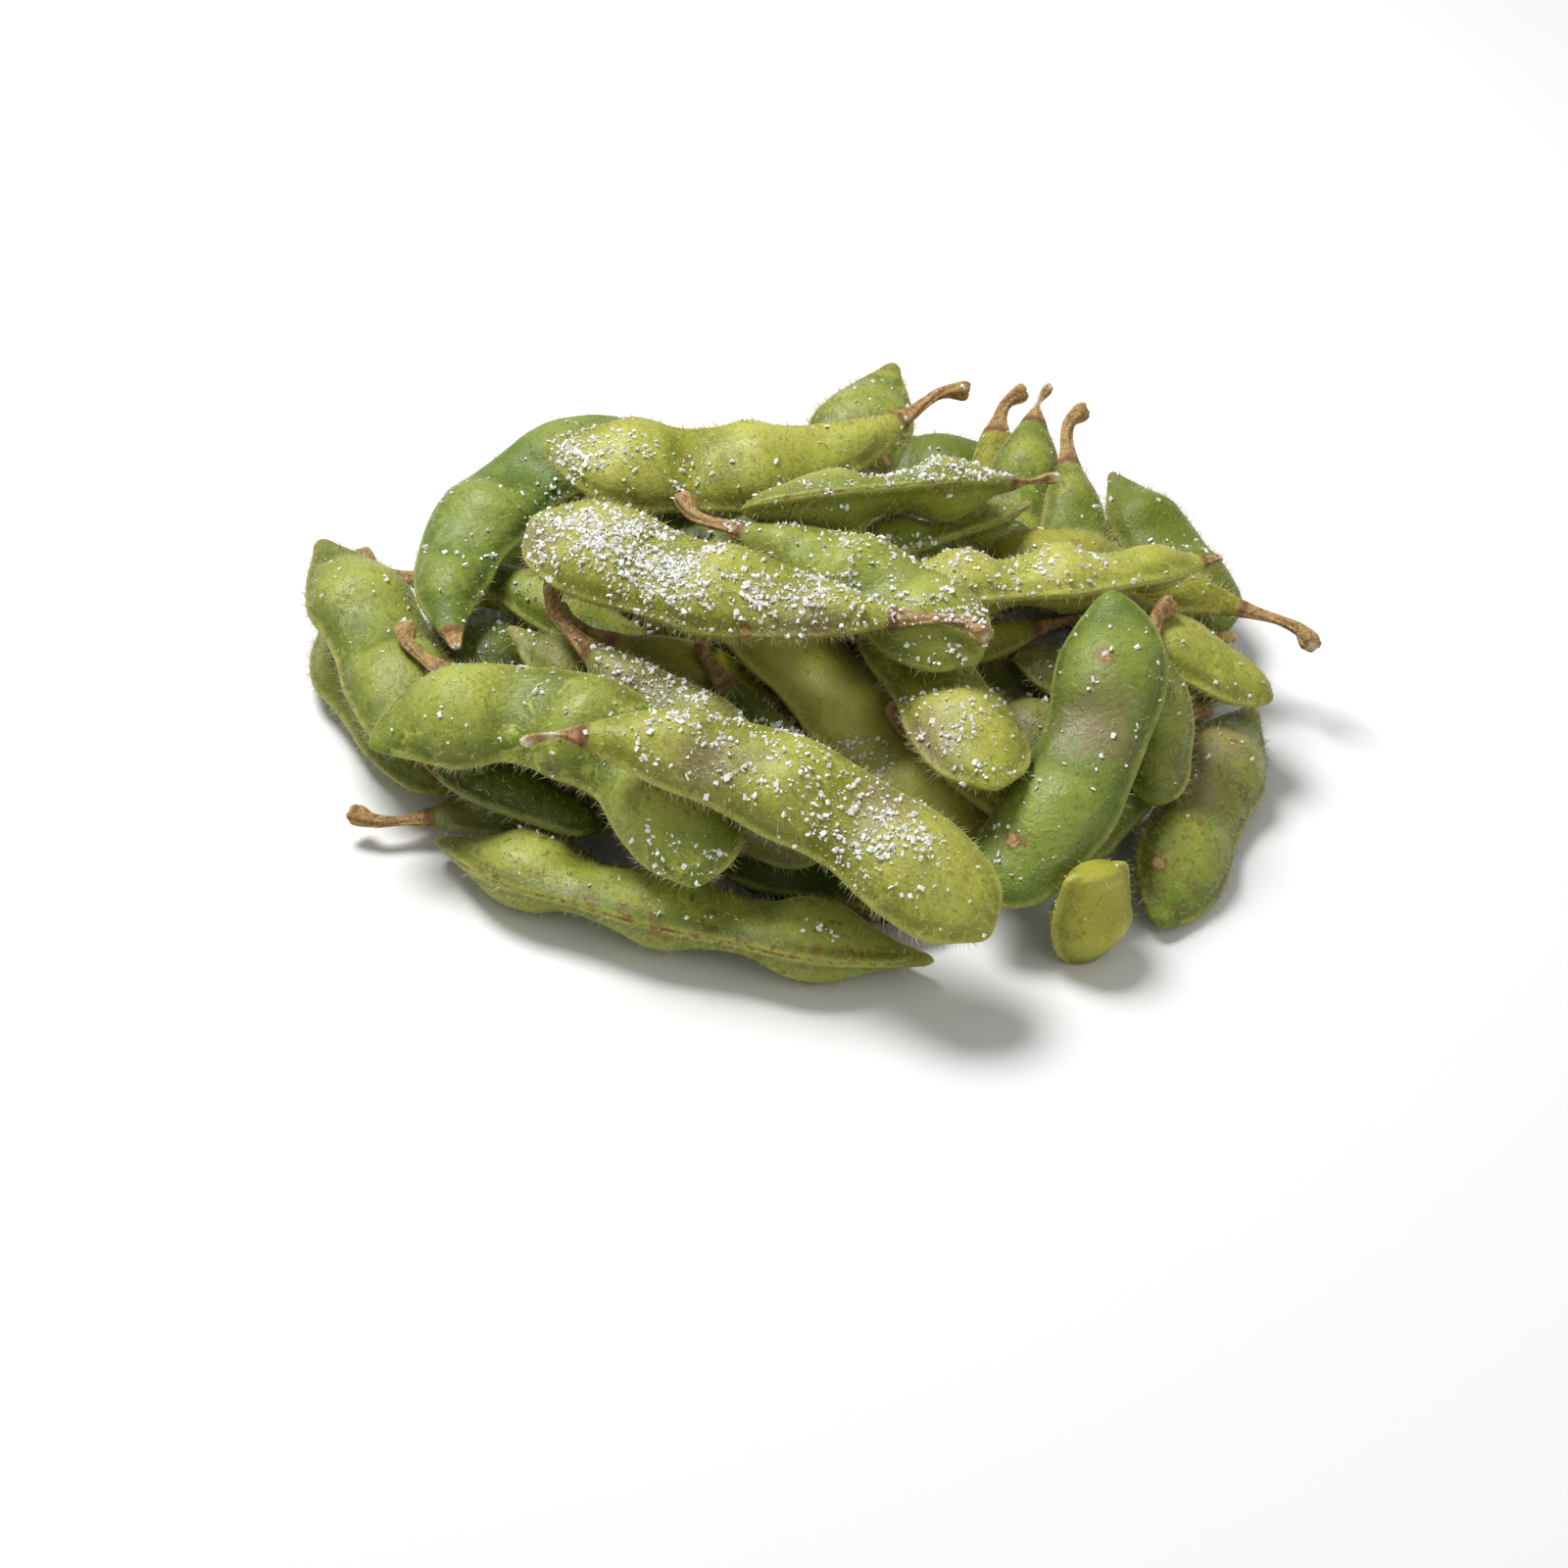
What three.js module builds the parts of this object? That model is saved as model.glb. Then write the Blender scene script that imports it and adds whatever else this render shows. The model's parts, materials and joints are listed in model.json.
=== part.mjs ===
// A heap of salted edamame pods, lying on a flat surface as they were tipped out.
// Millimetres and degrees. +Z is up, and the origin is on the surface, under the middle of the heap.
// Each pod is one solid with its beans showing as swellings, a raised seam along both edges,
// and a dried stalk, a hooked beak or a plain round end. Every pod comes to rest on those below it.
import * as THREE from "three";

// What all pods share
const SIDES = 8; // corners of a cross-section, with a seam at the first and the fifth
const SEAM_RIDGE = 0.45; // how far a seam stands out of the pod's edge
const SHOULDER = { across: 0.76, up: 0.66 }; // corner of a half shell between seam and crown
const FLAT_SHARE = 0.53; // thickness between two beans, as a share of that at a bean
const WAIST_SHARE = 0.85; // width between two beans, as a share of that at a bean
const STALK = { radius: 0.85, tip: 1.05, length: 6.5, curl: 60 };
const THREAD = { radius: 0.32, length: 4, curl: 80 };
const RINGS_PER_BEAN = 5;

// How the heap lies
const GAP = 0.6; // clearance between two pods that touch
const SAG = 0.9; // how much a pod on the surface is pressed flat
const BALL_STEP = 2.6; // spacing of the balls that stand for a pod while the heap settles
const EASE = 0.09; // share of an overlap that one step undoes
// Stages of settling. fall: how far a free pod sinks in one step. hold: pull back to the laid place.
// lift: the share of that pull that also works upwards.
const STAGES = [
  { steps: 300, fall: 0, hold: 0.02, lift: 1 },
  { steps: 400, fall: 0.05, hold: 0.012, lift: 0 },
  { steps: 300, fall: 0, hold: 0.001, lift: 0 },
];

const GREENS = {
  lime: 0x9db043,
  fresh: 0x85a13e,
  bluish: 0x6f9a4c,
  deep: 0x4f7330,
  grey: 0x84914f,
  olive: 0x9a9a48,
};

// The pods. Each row gives, for one pod:
// its name, the place of its near end (x, y, height), how it runs from there (heading, rise, roll),
// its body (length, width, thickness, and how much broader its near end is), its beans,
// its turn to the left along the way,
// what its two ends are, and its green.
const PODS = [
  // Under the heap
  ["under_left", [-38, -12, 5], [40, 0, 15], [46, 13, 8], 3, -25, "blunt blunt", "deep"],
  ["under_middle", [-22, -22, 5], [16, 0, -15], [54, 14, 9], 3, 18, "blunt blunt", "deep"],
  ["under_centre", [-24, 6, 5], [4, 0, 15], [50, 13, 9], 3, -15, "blunt blunt", "deep"],
  ["under_back", [-34, 30, 5], [-8, 0, -15], [52, 14, 9], 3, 25, "blunt blunt", "deep"],
  ["under_far_back", [-20, 50, 5], [4, 0, 15], [52, 14, 9], 3, -20, "blunt blunt", "deep"],
  ["under_back_left", [-54, 24, 5], [44, 0, 15], [44, 13, 9], 2, -20, "blunt blunt", "deep"],
  ["under_back_right", [22, 40, 5], [-48, 0, -15], [44, 13, 8], 2, -20, "blunt blunt", "deep"],
  ["under_top_back", [-26, 40, 14], [2, 0, 0], [50, 13, 9], 3, -20, "blunt blunt", "deep"],
  ["under_top_left", [-50, 4, 12], [28, 0, 0], [44, 12, 8], 2, 20, "blunt blunt", "deep"],
  ["under_top_middle", [-16, -8, 13], [8, 0, 0], [46, 12, 8], 3, 15, "blunt blunt", "deep"],
  ["under_top_centre", [-14, 22, 13], [-4, 0, 0], [46, 12, 8], 3, -15, "blunt blunt", "deep"],

  // Round the rim, on the surface or near it
  ["front_seam", [-49, -29, 6], [-20, 1, -28], [70, 14, 10], 3, 30, "tip tip", "fresh"],
  ["blunt_front", [32, -46, 15], [-90, -74, 0], [14, 10.5, 8], 1, 0, "cut blunt", "olive"],
  ["dark_front_right", [31, -37, 5], [86, 2, 0], [26, 9, 7], 1, 0, "blunt blunt", "deep"],
  ["dark_front_round", [-13, -40, 8], [-10, -4, 0], [32, 12, 8], 2, 0, "blunt blunt", "deep"],
  ["stem_left", [-54, -29, 7], [16, -4, 0], [30, 12, 7], 1, 0, "stalk blunt", "grey"],
  ["left_slim", [-69, 16, 7], [-60, -2, 0], [46, 12, 8], 2, 14, "tip blunt", "fresh"],
  ["right_seam", [42, -48, 7], [67, 6, 30], [45, 11.5, 9], 2, -8, "nose tip", "fresh"],
  ["dark_right", [60, 7, 7], [-140, -3, 0], [32, 11, 7], 1, 0, "tip blunt", "deep"],
  ["right_stem", [64, 3, 9], [163, 2, 0], [42, 12, 8], 2, 12, "neck blunt", "olive"],
  ["neck_far_left", [-60, 23, 12], [-10, -8, 0], [36, 10, 8], 2, 0, "stalk blunt", "olive"],
  ["back_right_tip", [43, 39, 15], [-66, -14, 0], [34, 12, 8], 2, 0, "tip blunt", "deep"],

  // Seen between others
  ["dark_left", [-48, 8, 13], [-65, -8, 0], [40, 12, 8], 2, 0, "blunt blunt", "deep"],
  ["grey_left", [-42, -4, 15], [-40, -12, 0], [36, 12, 8], 2, 0, "tip blunt", "grey"],
  ["tan_stem", [-31, -9, 17], [-9, -16, 0], [32, 9, 7], 1, 0, "stalk blunt", "olive"],
  ["slim_left", [-50, -22, 9], [-30, -4, 0], [28, 8, 7], 1, 0, "beak blunt", "deep"],
  ["fuzzy_behind", [31, -30, 12], [105, 4, 0], [36, 12, 9], 2, 25, "blunt blunt", "grey"],
  ["hooked_behind", [46, -15, 12], [-122, -8, 0], [28, 9, 7], 1, 0, "stalk blunt", "fresh"],
  ["pale_right", [36, -2, 15], [-30, -16, 0], [28, 11, 8], 1, 0, "blunt blunt", "lime"],
  ["right_stub", [60, -2, 11], [-172, -8, 0], [28, 8, 7], 1, 0, "spear blunt", "grey"],
  ["pink_nub", [12, -25, 18], [-30, -12, 0], [24, 7, 6], 1, 0, "stalk blunt", "olive"],
  ["round_right", [26, -10, 17], [14, -16, 0], [28, 12, 8], 1, 0, "blunt blunt", "grey"],
  ["thin_neck", [34, -7, 22], [-176, -16, 0], [24, 6, 5], 1, 0, "stalk blunt", "olive"],
  ["left_broad", [-69, 21, 13], [-67, -6, 0], [50, 14, 8.5], 2, -12, "tip blunt", "fresh"],
  ["pale_under", [23, -36, 12], [130, 10, 0], [50, 13.5, 9], 3, 8, "blunt blunt", "lime"],
  ["behind_top", [13, 53, 22], [-107, -10, 0], [46, 15, 8], 2, 8, "tip blunt", "fresh"],
  ["thin_sliver", [29, 58, 17], [-101, -20, 0], [30, 5, 3.5], 1, 0, "stalk blunt", "olive"],
  ["upright_back", [35, 52, 20], [-99, -20, 0], [38, 11, 8], 2, 0, "point blunt", "fresh"],
  ["upright_hook", [38, 44, 18], [-91, -18, 0], [34, 11, 8], 2, 0, "neck blunt", "fresh"],
  ["right_neck", [45, -10, 18], [-94, -18, 0], [25, 8, 7], 1, -12, "stalk blunt", "fresh"],
  ["tip_left", [-48, 14, 18], [-32, -14, 0], [32, 10, 8], 1, 0, "tip blunt", "fresh"],
  ["stem_on_left", [-52, -12, 18], [-31, -10, 0], [42, 9, 7], 2, 0, "stalk blunt", "olive"],
  ["dark_between", [-24, 12, 23], [-24, -8, 40], [38, 11, 8], 2, -25, "blunt blunt", "deep"],

  // On top
  ["slim_neck", [-14, -12, 22], [-55, -13, 0], [32, 7, 6], 1, 0, "neck blunt", "deep"],
  ["hooked_stem", [-33, -11, 29], [-43, -15, 30], [50, 13, 8.5, -0.08], 3, 10, "neck blunt", "grey"],
  ["blunt_hanging", [23, -41, 17], [109, 11, 0], [42, 13, 9, 0.12], 2, 10, "blunt blunt", "lime"],
  ["right_broad", [38, -12, 27], [-109, -26, 0], [49, 13.6, 8.5], 2, -55, "nose blunt", "bluish"],
  ["left_arched", [-56, -29, 14], [-30, 2, 15], [58, 15, 9], 3, -120, "nose blunt", "fresh"],
  ["salted_back_short", [31, 20, 24], [-146, -2, 35], [34, 11, 8], 2, 0, "tip blunt", "fresh"],
  ["bright_right", [54, 4, 21], [-160, 2, 20], [48, 13, 8.5], 3, -22, "spear blunt", "lime"],
  ["elbow", [-47, -11, 20], [64, 6, 0], [58, 14, 8.5, -0.1], 3, -90, "spear blunt", "bluish"],
  ["salted_back", [30, 12, 27], [-166, 2, 50], [40, 11, 8], 2, -8, "beak blunt", "fresh"],
  ["top_back", [17, 35, 29], [-163, 2, -20], [60, 15.5, 9, -0.06], 3, -70, "neck nose", "lime"],
  ["seamed_diagonal", [-14, 5, 30], [-40, -5, 12], [46, 13, 8.5], 3, -28, "neck blunt", "fresh"],
  ["front_broad", [20, -63, 17], [158, 12, -16], [60, 14, 9, 0.1], 3, 55, "blunt point", "lime"],
  ["salted_middle", [17, -22, 33], [156, 0, -12], [60, 14.5, 9, -0.1], 3, -34, "neck blunt", "lime"],
];

const radians = THREE.MathUtils.degToRad;

// Share of the full width near an end of the body, at a distance from that end.
const pointed = (reach) => (d, width) =>
  Math.max((2 * THREAD.radius) / width, Math.sin((Math.min(1, d / (reach * width)) * Math.PI) / 2) ** 0.9);
const stalked = (reach) => (d, width) => {
  const t = Math.min(1, d / (reach * width));
  const least = (2 * STALK.radius) / width;
  return least + (1 - least) * t * t * (3 - 2 * t);
};
const ENDS = {
  blunt: (d, width) => Math.sqrt(Math.max(0, 1 - (1 - Math.min(1, d / (0.5 * width))) ** 2)),
  cut: (d, width) => 0.86 + 0.14 * Math.min(1, d / (0.2 * width)),
  nose: (d, width) => Math.max(0, Math.sin((Math.min(1, d / (0.85 * width)) * Math.PI) / 2)) ** 0.8,
  tip: pointed(1.35),
  spear: pointed(2.1),
  beak: pointed(1.35),
  point: pointed(1.9),
  stalk: stalked(1.25),
  neck: stalked(2),
};

// What stands beyond the body at an end: a dried stalk, the thread of a beak, or nothing.
const DRY_STALK = [
  { out: STALK.length, radius: STALK.tip },
  { out: STALK.length * 0.45, radius: STALK.radius },
];
const DRY_THREAD = [{ out: THREAD.length, radius: THREAD.radius }];
const TAILS = { stalk: DRY_STALK, neck: DRY_STALK, beak: DRY_THREAD, point: DRY_THREAD };
const CURLS = { stalk: STALK.curl, neck: STALK.curl, beak: THREAD.curl, point: THREAD.curl };
const tailOf = (end) => TAILS[end] ?? [];
const curlOf = (end) => CURLS[end] ?? 0;

// Half width and half thickness of the body at a distance along it.
function bodySection(pod, s) {
  const [length, width, thickness, broader = 0] = pod.size;
  const pitch = length / (pod.beans + 0.5);
  let bean = 0;
  for (let i = 0; i < pod.beans; i++) {
    const middle = length / 2 + (i - (pod.beans - 1) / 2) * pitch;
    bean += Math.exp(-(((s - middle) / (0.36 * pitch)) ** 2));
  }
  bean = Math.min(1, bean);
  const share = ENDS[pod.ends[0]](s, width) * ENDS[pod.ends[1]](length - s, width);
  const breadth = 1 + broader * (1 - (2 * s) / length);
  const least = THREAD.radius;
  return {
    s,
    half: Math.max(least, (width / 2) * breadth * share * (WAIST_SHARE + (1 - WAIST_SHARE) * bean)),
    thick: Math.max(least, (thickness / 2) * share ** 0.8 * (FLAT_SHARE + (1 - FLAT_SHARE) * bean)),
    ridge: SEAM_RIDGE * Math.min(1, share * 2),
  };
}

// Cross-sections from one tip to the other. s is the distance along the pod from the start of its body.
function sectionsOf(pod) {
  const [length] = pod.size;
  const rings = [];
  const tube = (s, radius) => rings.push({ s, half: radius, thick: radius, ridge: 0 });
  tailOf(pod.ends[0]).forEach((t) => tube(-t.out, t.radius));
  const count = RINGS_PER_BEAN * pod.beans + 2;
  for (let i = 0; i < count; i++) {
    // Closer rings near the ends, where the body narrows
    const even = (i + 0.35) / (count - 0.3);
    const u = even - 0.07 * Math.sin(2 * Math.PI * even);
    rings.push(bodySection(pod, u * length));
  }
  [...tailOf(pod.ends[1])].reverse().forEach((t) => tube(length + t.out, t.radius));
  return rings;
}

// Direction of the centreline, in the plane of the seams, at a distance along the pod.
function turnAt(pod, s) {
  const [length] = pod.size;
  const along = THREE.MathUtils.clamp(s / length, 0, 1) - 0.5;
  const before = Math.max(0, -s) / STALK.length;
  const after = Math.max(0, s - length) / STALK.length;
  const side = pod.curl ?? 1;
  return radians(pod.bend * along - side * curlOf(pod.ends[0]) * before + side * curlOf(pod.ends[1]) * after);
}

// A point of the centreline, summed in short steps from the start of the body.
function centreAt(pod, s) {
  const steps = 24;
  const point = new THREE.Vector3();
  for (let i = 0; i < steps; i++) {
    const turn = turnAt(pod, ((i + 0.5) / steps) * s);
    point.x += (Math.cos(turn) * s) / steps;
    point.y += (Math.sin(turn) * s) / steps;
  }
  return point;
}

// The corners of one ring: seam, half shell, seam, half shell.
function ringPoints(pod, ring) {
  const centre = centreAt(pod, ring.s);
  const turn = turnAt(pod, ring.s);
  const across = new THREE.Vector3(-Math.sin(turn), Math.cos(turn), 0);
  const round = ring.ridge === 0;
  const side = round ? Math.SQRT1_2 : SHOULDER.across;
  const up = round ? Math.SQRT1_2 : SHOULDER.up;
  const edge = ring.half + ring.ridge;
  const corners = [
    [edge, 0],
    [ring.half * side, ring.thick * up],
    [0, ring.thick],
    [-ring.half * side, ring.thick * up],
    [-edge, 0],
    [-ring.half * side, -ring.thick * up],
    [0, -ring.thick],
    [ring.half * side, -ring.thick * up],
  ];
  return corners.map(([a, b]) => centre.clone().addScaledVector(across, a).setZ(b));
}

// The pole that closes an end: flat on a dried stalk, nearly so on a cut end, standing out on any other.
function pole(pod, ring, outward) {
  const end = pod.ends[outward < 0 ? 0 : 1];
  const dome = tailOf(end) === DRY_STALK ? 0 : end === "cut" ? 0.12 : 0.6;
  return centreAt(pod, ring.s + outward * ring.half * dome);
}

// A closed skin of rings and two poles. Its faces point outwards.
function podGeometry(pod) {
  const sections = sectionsOf(pod);
  const rings = sections.map((ring) => ringPoints(pod, ring));
  const last = rings.length - 1;
  const points = [pole(pod, sections[0], -1), ...rings.flat(), pole(pod, sections[last], 1)];
  const corner = (ring, side) => 1 + ring * SIDES + (side % SIDES);
  const index = [];
  for (let k = 0; k < SIDES; k++) {
    index.push(0, corner(0, k + 1), corner(0, k));
    for (let r = 0; r < last; r++) {
      index.push(corner(r, k), corner(r + 1, k + 1), corner(r + 1, k));
      index.push(corner(r, k), corner(r, k + 1), corner(r + 1, k + 1));
    }
    index.push(points.length - 1, corner(last, k), corner(last, k + 1));
  }
  return new THREE.BufferGeometry().setFromPoints(points).setIndex(index);
}

// Balls that fill a pod, by which it touches others: place in the pod's own frame, and radius.
function ballsOf(pod) {
  const [length] = pod.size;
  const [before, after] = pod.ends.map((end) => tailOf(end)[0]?.out ?? 0);
  const steps = Math.ceil((before + length + after) / BALL_STEP);
  const balls = [];
  for (let i = 0; i <= steps; i++) {
    const s = -before + (i / steps) * (before + length + after);
    const tail = s < 0 ? tailOf(pod.ends[0])[0] : s > length ? tailOf(pod.ends[1])[0] : null;
    const ring = tail ? { half: tail.radius, thick: tail.radius, ridge: 0 } : bodySection(pod, s);
    const centre = centreAt(pod, s);
    const turn = turnAt(pod, s);
    const across = new THREE.Vector3(-Math.sin(turn), Math.cos(turn), 0);
    const put = (offset, r) => balls.push({ at: centre.clone().addScaledVector(across, offset), r: r + GAP / 2 });
    put(0, ring.thick);
    if (ring.half < ring.thick * 1.1) continue;
    for (const side of [-1, 1]) {
      put(side * ring.half * 0.4, ring.thick * 0.8);
      put(side * (ring.half + ring.ridge - ring.thick * 0.6), ring.thick * 0.6);
    }
  }
  return balls;
}

// A pod as a loose body: its balls about its centre of weight, and its place and turn.
function looseBody(pod) {
  const balls = ballsOf(pod);
  const centre = new THREE.Vector3();
  balls.forEach((ball) => centre.addScaledVector(ball.at, 1 / balls.length));
  balls.forEach((ball) => ball.at.sub(centre));
  const [heading, rise, roll] = pod.aim.map(radians);
  const turn = new THREE.Quaternion().setFromEuler(new THREE.Euler(roll, -rise, heading, "ZYX"));
  const [length, width, thickness] = pod.size;
  const lying = (length * length) / 12;
  const start = centre.clone().negate();
  const place = new THREE.Vector3(...pod.at).sub(start.clone().applyQuaternion(turn));
  const far = start.clone().add(centreAt(pod, length));
  const edge = new THREE.Vector3(0, width, 0);
  const holds = [start, far, edge].map((at) => ({
    at,
    home: at.clone().applyQuaternion(turn).add(place),
  }));
  const spin = new THREE.Vector3(1 / ((width * width + thickness * thickness) / 12), 1 / lying, 1 / lying);
  const now = balls.map(() => new THREE.Vector3());
  const [move, twist] = [new THREE.Vector3(), new THREE.Vector3()];
  return { balls, now, holds, centre, place, laid: place.z, turn, spin, move, twist };
}

// Pushes a body at a point, by a small way.
const arm = new THREE.Vector3();
function push(body, at, by) {
  body.move.add(by);
  body.twist.add(arm.copy(at).sub(body.place).cross(by));
}

// Moves and turns a body by what has been pushed, and finds where its balls are.
function follow(body) {
  body.place.add(body.move.clampLength(0, 1));
  const twist = body.twist.applyQuaternion(body.turn.clone().conjugate()).multiply(body.spin);
  const angle = Math.min(0.05, twist.length());
  body.turn.multiply(new THREE.Quaternion().setFromAxisAngle(twist.normalize(), angle)).normalize();
  body.move.set(0, 0, 0);
  body.twist.set(0, 0, 0);
  body.balls.forEach((ball, i) => body.now[i].copy(ball.at).applyQuaternion(body.turn).add(body.place));
}

// All pairs of balls of two bodies that are within a reach of touching.
function nearPairs(bodies, reach) {
  const boxes = bodies.map((body) => new THREE.Box3().setFromPoints(body.now).expandByScalar(6));
  const pairs = [];
  for (let a = 0; a < bodies.length; a++) {
    for (let b = a + 1; b < bodies.length; b++) {
      if (!boxes[a].intersectsBox(boxes[b])) continue;
      bodies[a].balls.forEach((p, i) => {
        if (boxes[b].distanceToPoint(bodies[a].now[i]) > reach) return;
        bodies[b].balls.forEach((q, j) => {
          const near = p.r + q.r + reach;
          if (bodies[a].now[i].distanceToSquared(bodies[b].now[j]) < near * near) {
            pairs.push([bodies[a], bodies[b], i, j, p.r + q.r]);
          }
        });
      });
    }
  }
  return pairs;
}

// Lets all pods push each other apart, sink, and come to rest.
function settle(bodies) {
  const by = new THREE.Vector3();
  const at = new THREE.Vector3();
  bodies.forEach(follow);
  for (const stage of STAGES) {
    let pairs = [];
    for (let step = 0; step < stage.steps; step++) {
      if (step % 12 === 0) pairs = nearPairs(bodies, 1.5);
      for (const [a, b, i, j, touch] of pairs) {
        by.subVectors(a.now[i], b.now[j]);
        const depth = touch - by.length();
        if (depth <= 0) continue;
        by.setLength(depth * EASE * 0.5);
        at.addVectors(a.now[i], b.now[j]).multiplyScalar(0.5);
        push(a, at, by);
        push(b, at, by.negate());
      }
      for (const body of bodies) {
        body.balls.forEach((ball, i) => {
          const below = ball.r - GAP / 2 - SAG - body.now[i].z;
          if (below > 0) push(body, body.now[i], by.set(0, 0, below * EASE));
        });
        const sunk = body.laid - body.place.z;
        for (const { at: held, home } of body.holds) {
          at.copy(held).applyQuaternion(body.turn).add(body.place);
          by.subVectors(home, at).multiplyScalar(stage.hold);
          by.z -= (1 - stage.lift) * stage.hold * sunk;
          push(body, at, by);
        }
        body.move.z -= stage.fall;
        follow(body);
      }
    }
  }
}

// Presses flat what would be below the surface.
function restOnSurface(mesh) {
  mesh.updateMatrixWorld(true);
  const back = mesh.matrixWorld.clone().invert();
  const position = mesh.geometry.getAttribute("position");
  const point = new THREE.Vector3();
  for (let i = 0; i < position.count; i++) {
    point.fromBufferAttribute(position, i).applyMatrix4(mesh.matrixWorld);
    if (point.z >= 0) continue;
    point.setZ(0).applyMatrix4(back);
    position.setXYZ(i, point.x, point.y, point.z);
  }
}

const pods = PODS.map(([name, at, aim, size, beans, bend, ends, skin]) => ({
  name, at, aim, size, beans, bend, ends: ends.split(" "), skin,
}));
const bodies = pods.map(looseBody);
settle(bodies);

const heap = new THREE.Group();
pods.forEach((pod, i) => {
  const skin = new THREE.MeshStandardMaterial({ color: GREENS[pod.skin], roughness: 0.55, metalness: 0 });
  const mesh = new THREE.Mesh(podGeometry(pod), skin);
  mesh.name = `pod_${pod.name}`;
  mesh.quaternion.copy(bodies[i].turn);
  mesh.position.copy(bodies[i].centre).negate().applyQuaternion(bodies[i].turn).add(bodies[i].place);
  restOnSurface(mesh);
  mesh.geometry.computeVertexNormals();
  heap.add(mesh);
});

// The origin goes under the middle of the whole heap.
const box = new THREE.Box3().setFromObject(heap, true);
const middle = box.getCenter(new THREE.Vector3());
heap.position.set(-middle.x, -middle.y, 0);

export default heap;
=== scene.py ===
import json
import math

import bmesh
import bpy
import numpy as np
from bpy.props import FloatProperty, FloatVectorProperty, IntProperty, PointerProperty
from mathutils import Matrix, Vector, noise
from mathutils.bvhtree import BVHTree


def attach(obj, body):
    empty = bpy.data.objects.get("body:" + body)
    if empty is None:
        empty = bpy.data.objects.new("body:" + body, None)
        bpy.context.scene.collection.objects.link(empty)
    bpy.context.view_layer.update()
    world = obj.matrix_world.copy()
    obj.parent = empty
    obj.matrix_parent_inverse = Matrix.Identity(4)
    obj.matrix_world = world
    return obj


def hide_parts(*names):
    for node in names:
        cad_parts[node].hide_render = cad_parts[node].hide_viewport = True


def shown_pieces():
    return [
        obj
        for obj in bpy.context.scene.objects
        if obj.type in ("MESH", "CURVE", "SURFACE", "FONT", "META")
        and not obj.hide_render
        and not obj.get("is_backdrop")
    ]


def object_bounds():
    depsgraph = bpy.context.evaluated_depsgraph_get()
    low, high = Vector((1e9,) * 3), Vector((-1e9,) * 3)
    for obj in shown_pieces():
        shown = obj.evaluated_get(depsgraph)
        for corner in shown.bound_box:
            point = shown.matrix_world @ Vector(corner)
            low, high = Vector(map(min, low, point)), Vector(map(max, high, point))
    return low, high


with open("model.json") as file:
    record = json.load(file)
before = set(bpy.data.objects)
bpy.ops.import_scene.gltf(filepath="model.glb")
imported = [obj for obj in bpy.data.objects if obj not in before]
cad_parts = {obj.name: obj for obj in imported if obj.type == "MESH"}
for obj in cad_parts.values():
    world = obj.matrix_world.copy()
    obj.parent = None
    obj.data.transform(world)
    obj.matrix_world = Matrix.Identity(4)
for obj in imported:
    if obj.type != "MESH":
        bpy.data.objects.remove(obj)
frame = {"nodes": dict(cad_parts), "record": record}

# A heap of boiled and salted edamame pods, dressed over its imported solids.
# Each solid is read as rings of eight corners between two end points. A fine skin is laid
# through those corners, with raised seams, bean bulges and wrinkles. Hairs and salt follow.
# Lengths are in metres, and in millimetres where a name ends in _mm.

bl_info = {
    "name": "Edamame Pod Heap",
    "version": (1, 0, 0),
    "blender": (4, 5, 0),
    "location": "View3D > Sidebar > Edamame",
    "description": "Skins, hairs, salt and a plain stage for a heap of edamame pods",
    "category": "Object",
}

MM = 0.001
FRAME_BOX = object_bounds()
BODY = "root"
SEED = 20
SALT_SEED = SEED + 50

# How a pod's solid is read.
CORNERS = 8  # corners of each ring: 0 and 4 lie on the seams, 2 and 6 on the crowns
MERGE = 0.001 * MM  # corners closer than this are one
TINY = 1e-12  # keeps a length that is divided by above zero

# Where the skin's vertices lie across one valve, in corners from the seam.
HALF_VALVE = (0, 0.05, 0.12, 0.22, 0.36, 0.56, 0.8, 1.08, 1.38, 1.69)
VALVE = HALF_VALVE + (2.0,) + tuple(4 - t for t in reversed(HALF_VALVE))
BURIED_VALVE = (0, 0.2, 0.6, 1, 1.5, 2, 2.5, 3, 3.4, 3.8, 4)

# Pods inside the heap, which show little. They have a plainer skin and no hairs.
BURIED = tuple(
    "pod_under_" + place
    for place in ("left", "middle", "centre", "top_back", "top_left", "top_middle", "top_centre")
)

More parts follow.
